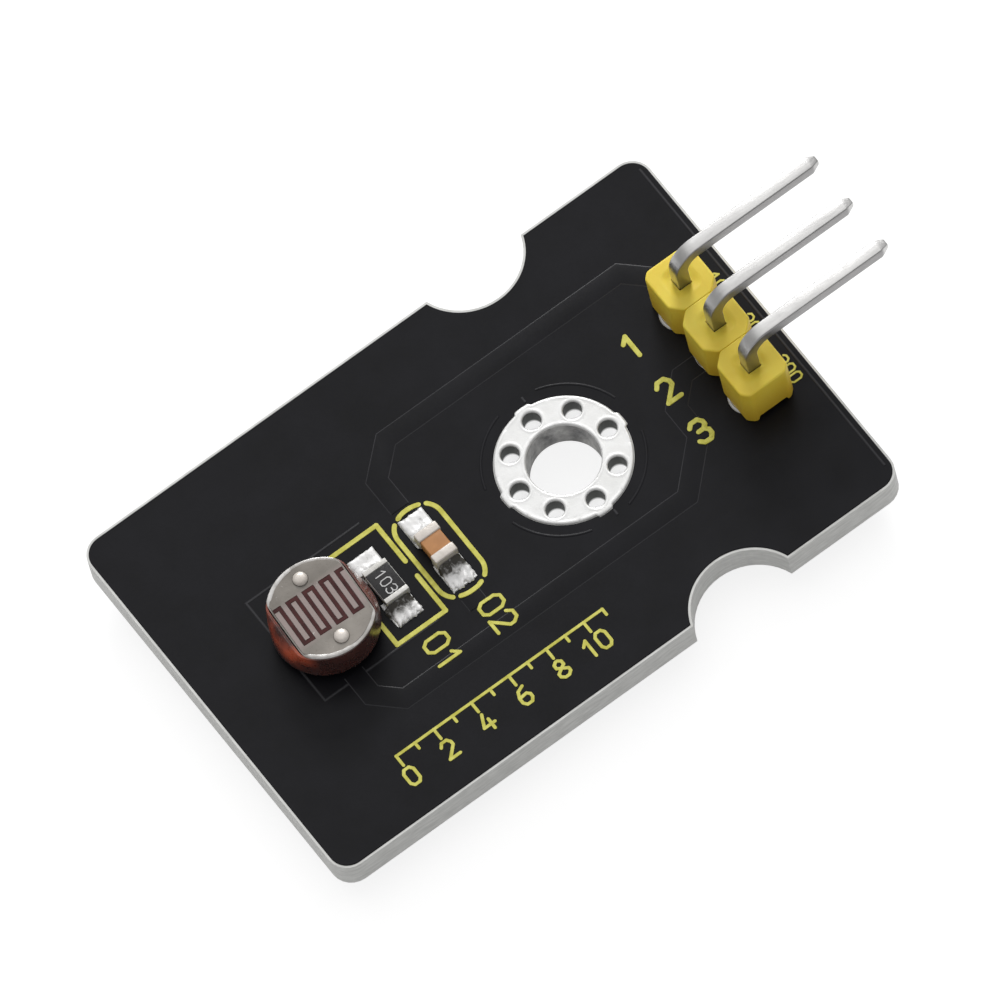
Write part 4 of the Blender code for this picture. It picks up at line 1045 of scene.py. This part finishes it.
def make_chip_solder():
    """Reflowed solder: bright where it lies thin on the land, and dark and crazed next to the chip
    where the stored share stands: strongly on the near lands, and faintly on the far lands, where it is
    painted shade."""
    material = make_finish(
        "chip_solder", (0.70, 0.695, 0.69), (0.82, 0.815, 0.81), (0.36, 0.5), (1.6, 6.0),
        (0.25, 0.015), Metallic=0.3,
    )
    tree = material.node_tree
    craze = patches(tree, 3.6, 5.0, (0.3, 0.7), (-0.5, 0.5), Roughness=0.65, Distortion=0.6)
    darkening = spread(tree, reckon(tree, "ADD", stored(tree, "dark_beside_chip"), craze), 0.15, 0.9)
    return tint(material, darkening, (0.06, 0.055, 0.048))


chip_solder = make_chip_solder()


def soft_block(low, high, edge):
    """A block with round edges, laid along Y: its section is a rectangle with round corners,
    which shrinks over each end as a quarter circle."""
    turn = np.linspace(0, np.pi / 2, BLOCK_STEPS)
    narrowing = edge * (1 - np.sin(turn))
    rounding = edge * (1 - np.cos(turn))
    along = np.concatenate([low[1] + rounding, high[1] - narrowing])
    middle = (low + high)[[0, 2]] / 2
    half = (high - low)[[0, 2]] / 2
    section = round_rectangle(-half, half, edge, 0.0, BLOCK_STEPS)
    shrink = 1 - np.concatenate([narrowing, rounding])[:, None, None] / half
    flat = section * shrink + middle
    return np.dstack([flat[..., 0], np.broadcast_to(along[:, None], flat.shape[:2]), flat[..., 1]])


def make_blocks(name, nodes, edge, shift, finish, lift=0.0):
    """Round-edged blocks in the places of some CAD nodes, as one piece."""
    shape = Shape()
    for node in nodes:
        low, high = node_box(node)
        move = np.array([shift, 0, 0])
        shape.grid(soft_block(low + move, high + move + (0, 0, lift), edge), caps=True)
    make_piece(name, shape, finish, nodes)


def far_side(node, way):
    """Where a CAD node ends along Y, one way or the other."""
    low, high = node_box(node)
    return high[1] if way > 0 else low[1]


def solder_bank(land, start, climb, way, roughness, seed):
    """Solder on one land as a height over it. Along the land it falls from the chip's end
    as a hollow curve to a flat bead. It drops to nothing at its edges as a root, and waves
    of sines make its outline and face uneven."""
    low, high = node_box(land)
    stop = far_side(land, way) + way * 0.02
    across = np.linspace(-1, 1, 41)[None, :]
    along = np.linspace(0, 1, 45)[:, None]
    wave = roughness * (
        0.5 * np.sin(7.3 * across + seed) * np.sin(5.1 * along + 2 * seed)
        + 0.3 * np.sin(15.7 * across + 3 * seed + 4 * along) + 0.2 * np.sin(23 * along + 9 * across)
    )
    half = (high[0] - low[0]) / 2 + 0.01
    x = (low[0] + high[0]) / 2 + half * across * (1 + wave * 0.14 * np.abs(across) ** 3)
    y = start + (stop - start) * along * (1 + wave * 0.13 * along ** 2)
    fall = np.clip(1 - along / 0.62, 0, 1) ** 2.4
    height = SOLDER_BEAD * (1 + 0.22 * wave) + (climb - SOLDER_BEAD) * fall * (1 - 0.25 * across ** 4)
    rim = np.sqrt(np.clip(1 - np.abs(across) ** 7, 0, 1)) * np.sqrt(np.clip(1 - along ** 12, 0, 1))
    rim[0] = 0
    foot = high[2] - 0.02
    return [np.dstack([x, y, foot + height * rim * lift]) for lift in (1, 0)]


def make_bank(name, number, chip, climb, shift, roughness, darkening):
    """The solder of one chip end as a piece, with the share of its darkening next to the chip stored on
    its points: faint painted shade on the far lands, strong dark crazing on the near ones.
    """
    way = 1 if number == 1 else -1
    end = far_side(f"{chip}_end_{number}", way) + way * SKIN_GAP
    shape = Shape()
    for points in solder_bank(f"{chip}_land_{number}", end, climb, way, roughness, number + 2 * shift):
        shape.grid(points, round_columns=False)
    piece = make_piece(name, shape, chip_solder, [f"{chip}_solder_{number}"], 60)
    away = np.abs(point_places(piece)[:, 1] - end)
    paint_points(piece, "dark_beside_chip", darkening * (1 - soft_step(away, 0.15, 0.75)))


make_blocks("resistor_slip", ["resistor_body"], 0.05, RESISTOR_SHIFT, alumina)
make_blocks("resistor_glass", ["resistor_glaze"], 0.016, RESISTOR_SHIFT, black_glaze)
make_blocks(
    "resistor_ends", ["resistor_end_1", "resistor_end_2"], 0.03, RESISTOR_SHIFT, chip_tin,
    0.01,
)
# the last number darkens the solder next to the chip: faint painted shade on the far land, strong dark
# crazing on the near one
make_bank("resistor_solder_far", 1, "resistor", 0.30, 0.0, 0.15, 0.18)
make_bank("resistor_solder_near", 2, "resistor", 0.36, 0.7, 1.0, 1.0)

# Chip capacitor: a fired brown block of thin ceramic layers with dipped tin ends, on two
# lands of its own beside the resistor.
brown_ceramic = make_finish(
    "brown_ceramic", (0.42, 0.185, 0.06), (0.54, 0.25, 0.09), (0.4, 0.55), (1.4, 7.0),
    (0.25, 0.02),
)
dipped_tin = make_finish(
    "dipped_tin", (0.60, 0.55, 0.50), (0.72, 0.67, 0.62), (0.3, 0.5), (1.6, 6.0), (0.4, 0.03),
    Metallic=0.3,
)
make_blocks("capacitor_block", ["capacitor_body"], 0.06, 0.0, brown_ceramic)
make_blocks(
    "capacitor_ends", ["capacitor_end_1", "capacitor_end_2"], 0.07, 0.0, dipped_tin,
)
# the last number darkens the solder next to the chip: faint painted shade on the far land, strong dark
# crazing on the near one
make_bank("capacitor_solder_far", 1, "capacitor", 0.42, 0.2, 0.25, 0.22)
make_bank("capacitor_solder_near", 2, "capacitor", 0.5, 1.1, 1.0, 1.0)
for land in CHIP_LANDS:
    dress(land, tinned_copper)

# Print: yellow ink through a fine screen, on top of the mask and its ridges: outlines of
# the two chips, plain numbers and a millimetre scale.
INK_THICKNESS = 0.022
INK_LINE = 0.23
INK_SINK = 0.004
INK_LIFT = 0.0007
INK_STEP = 0.1
SHARP_TURN = 0.6
DIGIT_STEP = 0.85
DOWN = -np.pi / 2

yellow_ink = make_finish(
    "yellow_ink", (0.52, 0.49, 0.05), (0.74, 0.71, 0.15), (0.5, 0.65), (2.6, 7.0), (0.4, 0.015),
)


def fine_path(path):
    """The path with points added at even steps along each of its straight runs."""
    runs = []
    for first, last in zip(path, path[1:]):
        count = max(int(np.linalg.norm(last - first) / INK_STEP), 1)
        runs.append(first + (last - first) * np.arange(count)[:, None] / count)
    return np.concatenate(runs + [path[-1:]])


def strokes_between_corners(path):
    """The path cut at each of its sharp corners."""
    step = np.diff(path, axis=0)
    heading = np.arctan2(step[:, 1], step[:, 0])
    turn = np.abs((np.diff(heading) + np.pi) % (2 * np.pi) - np.pi)
    cuts = [0, *(np.flatnonzero(turn > SHARP_TURN) + 1), len(path) - 1]
    return [path[first:last + 1] for first, last in zip(cuts, cuts[1:])]


def print_line(shape, path, level, width=INK_LINE, lift=0.0):
    """Carry the ink's section along one line: flat on top, its edges drawn down, and its
    height laid over the surface that level gives at flat points. It is cut into strokes at
    its corners. A stroke's ends close as half rounds, and each lies a hair over the last."""
    half = width / 2
    flat_half = 0.86 * half
    profile = [
        (-half, -INK_SINK), (-flat_half, INK_THICKNESS), (flat_half, INK_THICKNESS), (half, -INK_SINK),
    ]
    turn = np.linspace(0.2, np.pi / 2, 5)[:-1]
    for number, stroke in enumerate(strokes_between_corners(np.asarray(path, float))):
        route = fine_path(stroke)
        first_way, last_way = unit(route[[0, -1]] - route[[1, -2]])
        narrow = np.concatenate([np.sin(turn), np.ones(len(route)), np.sin(turn)[::-1]])
        route = np.concatenate([
            route[0] + half * np.cos(turn)[:, None] * first_way, route,
            route[-1] + half * np.cos(turn)[::-1, None] * last_way,
        ])
        points = carry_profile(route, profile)
        centre = route[:, None]
        points[..., :2] = centre + (points[..., :2] - centre) * narrow[:, None, None]
        points[..., 2] += level(points[..., :2]) + lift + number * INK_LIFT
        shape.grid(points, caps=True)


def mask_level(flat):
    """The mask's face at flat points."""
    return mask_top + mask_rise(flat)


DIGITS = {
    "0": [[(0.15, 0), (0.0, 0.2), (0.0, 0.8), (0.15, 1), (0.45, 1), (0.6, 0.8), (0.6, 0.2), (0.45, 0),
           (0.15, 0)]],
    "1": [[(0.1, 0.75), (0.35, 1), (0.35, 0)]],
    "2": [[(0.0, 0.8), (0.15, 1), (0.45, 1), (0.6, 0.8), (0.6, 0.6), (0.0, 0), (0.62, 0)]],
    "3": [[(0.0, 0.85), (0.15, 1), (0.45, 1), (0.6, 0.82), (0.6, 0.66), (0.45, 0.52), (0.2, 0.52)],
          [(0.45, 0.52), (0.6, 0.38), (0.6, 0.18), (0.45, 0), (0.15, 0), (0.0, 0.15)]],
    "4": [[(0.32, 1), (0.0, 0.3), (0.65, 0.3)], [(0.45, 0.6), (0.45, 0)]],
    "6": [[(0.5, 1), (0.15, 0.85), (0.0, 0.5), (0.0, 0.2), (0.15, 0), (0.45, 0), (0.6, 0.2), (0.6, 0.4),
           (0.45, 0.55), (0.05, 0.5)]],
    "8": [[(0.3, 0.53), (0.08, 0.66), (0.08, 0.87), (0.25, 1), (0.35, 1), (0.52, 0.87), (0.52, 0.66),
           (0.3, 0.53), (0.6, 0.33), (0.6, 0.15), (0.42, 0), (0.18, 0), (0.0, 0.15), (0.0, 0.33),
           (0.3, 0.53)]],
}


def print_number(shape, text, corner, height, level, width, turn=0.0):
    """Set a number out from its lower left corner, turned about that corner."""
    for place, digit in enumerate(text):
        for number, stroke in enumerate(DIGITS[digit]):
            flat = np.array(stroke) * height + (place * DIGIT_STEP * height, 0)
            lift = (12 * number + 0.5) * INK_LIFT
            print_line(shape, np.asarray(corner) + spun(flat, turn), level, width, lift)


def board_line(points, width=INK_LINE, lift=0.0):
    """One line on the board, its points measured from the board's middle."""
    print_line(printing, np.asarray(points) + board_centre, mask_level, width, lift)


def board_number(text, corner, height, width, turn=0.0):
    """One number on the board, its corner measured from the board's middle."""
    print_number(printing, text, board_centre + corner, height, mask_level, width, turn)


printing = Shape()
# the resistor's outline is a rectangle, broken in the middle of its long sides
left, right, low, high, gap = -6.79, -4.21, -2.54, 2.61, 0.44
board_line([(left, -gap), (left, low), (right, low), (right, -gap)])
board_line([(left, gap), (left, high), (right, high), (right, gap)])
# the capacitor's outline is a long round, broken beside the outer corners of its lands:
# each long side turns in at its ends, and a short stroke closes each end
left, right, low, high, bend = -3.89, -1.61, -2.50, 2.36, 0.95
middle = (left + right) / 2
turn_in = np.radians(46)
for side, way in ((left, -1), (right, 1)):
    centre_x = side - way * bend
    facing = 0 if way > 0 else np.pi
    board_line(np.concatenate([
        arc((centre_x, low + bend), bend, facing - way * turn_in, way * turn_in, 8),
        arc((centre_x, high - bend), bend, facing, way * turn_in, 8),
    ]))
for end, way in ((low, -1), (high, 1)):
    sweep = np.linspace(-0.54, 0.54, 9)
    board_line(np.stack([middle + sweep, end - way * 0.1 * np.abs(sweep / 0.54) ** 2.5], 1))
# numbers of the three pins, then of the two chips, which read across the board
for number, place in (("1", 1.95), ("2", -0.72), ("3", -3.2)):
    board_number(number, (9.05, place), 1.1, INK_LINE)
for number, corner in (("01", (-5.96, -3.2)), ("02", (-3.06, -3.25))):
    board_number(number, corner, 1.1, 0.17, DOWN)
# small numbers behind the header, beside each pin
for number, place in zip(("100", "200", "300"), (PIN_PITCH, 0.0, -PIN_PITCH)):
    board_number(number, (13.78, place + 0.55), 0.58, 0.10, DOWN)
# the millimetre scale: a base line, a tick at each millimetre, and a number at each second
scale_start, scale_y = -9.9, -6.75
board_line([(scale_start, scale_y), (scale_start + 11, scale_y)], 0.15)
for millimetre in range(12):
    reach = 0.55 if millimetre % 2 == 0 else 0.32
    place = scale_start + millimetre
    board_line([(place, scale_y), (place, scale_y - reach)], 0.15, 2 * INK_LIFT)
for millimetre in (0, 2, 4, 6, 8, 10):
    text = str(millimetre)
    place = scale_start + millimetre - 0.3 * 0.85 * (2 * len(text) - 1)
    board_number(text, (place, scale_y - 1.6), 0.85, 0.16)
make_piece("print_outlines", printing, yellow_ink)

# the resistor's code, in fine white strokes on its glaze
code = Shape()
glaze_low, glaze_high = node_box("resistor_glaze")
code_corner = ((glaze_low[0] + glaze_high[0]) / 2 + RESISTOR_SHIFT - 0.26, 0.52)
print_number(
    code, "103", code_corner, 0.5, lambda flat: np.full(flat.shape[:-1], glaze_high[2] - 0.012),
    0.055, DOWN,
)
make_piece("resistor_code", code, code_ink)

# The picture: a pale floor, one very broad soft light behind and above, a pale sky, and a
# long lens that looks down on the board.
FLOOR_DROP = 0.02
FLOOR_HALF = 600.0
lowest = node_box("header_pin_1")[0][2]


def make_floor():
    """A flat square under the module. The camera, mirrors and glass see it white, and
    lamps see a pale matt floor."""
    level = lowest - FLOOR_DROP
    corners = [(x * FLOOR_HALF, y * FLOOR_HALF, level) for x, y in ((-1, -1), (1, -1), (1, 1), (-1, 1))]
    mesh = bpy.data.meshes.new("floor")
    mesh.from_pydata((np.array(corners) * MM).tolist(), [], [(0, 1, 2, 3)])
    material = bpy.data.materials.new("pale_floor")
    material.use_nodes = True
    tree = material.node_tree
    shader = tree.nodes["Principled BSDF"].inputs
    shader["Roughness"].default_value = 0.9
    path = add_node(tree, "ShaderNodeLightPath").outputs
    seen = reckon(tree, "MAXIMUM", path["Is Camera Ray"], path["Is Glossy Ray"])
    seen = reckon(tree, "MAXIMUM", seen, path["Is Transmission Ray"])
    for socket, unseen, white in (("Base Color", 0.72, 0.33), ("Emission Color", 0.0, 0.83)):
        tree.links.new(mix_colours(tree, seen, (unseen,) * 3, (white,) * 3), shader[socket])
    shader["Emission Strength"].default_value = 1.0
    mesh.materials.append(material)
    floor = bpy.data.objects.new("floor", mesh)
    bpy.context.scene.collection.objects.link(floor)


make_floor()


def make_light(name, place, size, power):
    """A square area lamp at a place in metres, turned to face the module."""
    data = bpy.data.lights.new(name, "AREA")
    data.shape = "SQUARE"
    data.size = size
    data.energy = power
    lamp = bpy.data.objects.new(name, data)
    lamp.location = place
    aim = Vector((0, 0, 0.003)) - Vector(place)
    lamp.rotation_euler = aim.to_track_quat("-Z", "Y").to_euler()
    bpy.context.scene.collection.objects.link(lamp)


make_light("soft_light_above", (0.10, 0.28, 0.55), 0.80, 1.25)
make_light("soft_light_behind", (0.26, 0.44, 0.30), 0.20, 2.1)

world = bpy.data.worlds.new("pale_sky")
bpy.context.scene.world = world
world.use_nodes = True
sky = world.node_tree.nodes["Background"].inputs
sky["Color"].default_value = (1.0, 1.0, 1.0, 1)
sky["Strength"].default_value = 0.42

camera_data = bpy.data.cameras.new("camera")
camera_data.lens = 1143.6
camera_data.sensor_width = 36.0
camera_data.clip_start = 0.05
camera_data.clip_end = 10.0
camera = bpy.data.objects.new("camera", camera_data)
camera.location = (-0.214633, -0.542850, 1.240114)
camera.rotation_euler = np.radians((24.38386, 6.74011, -35.91587)).tolist()
bpy.context.scene.collection.objects.link(camera)
bpy.context.scene.camera = camera
bpy.context.scene.view_settings.view_transform = "Standard"
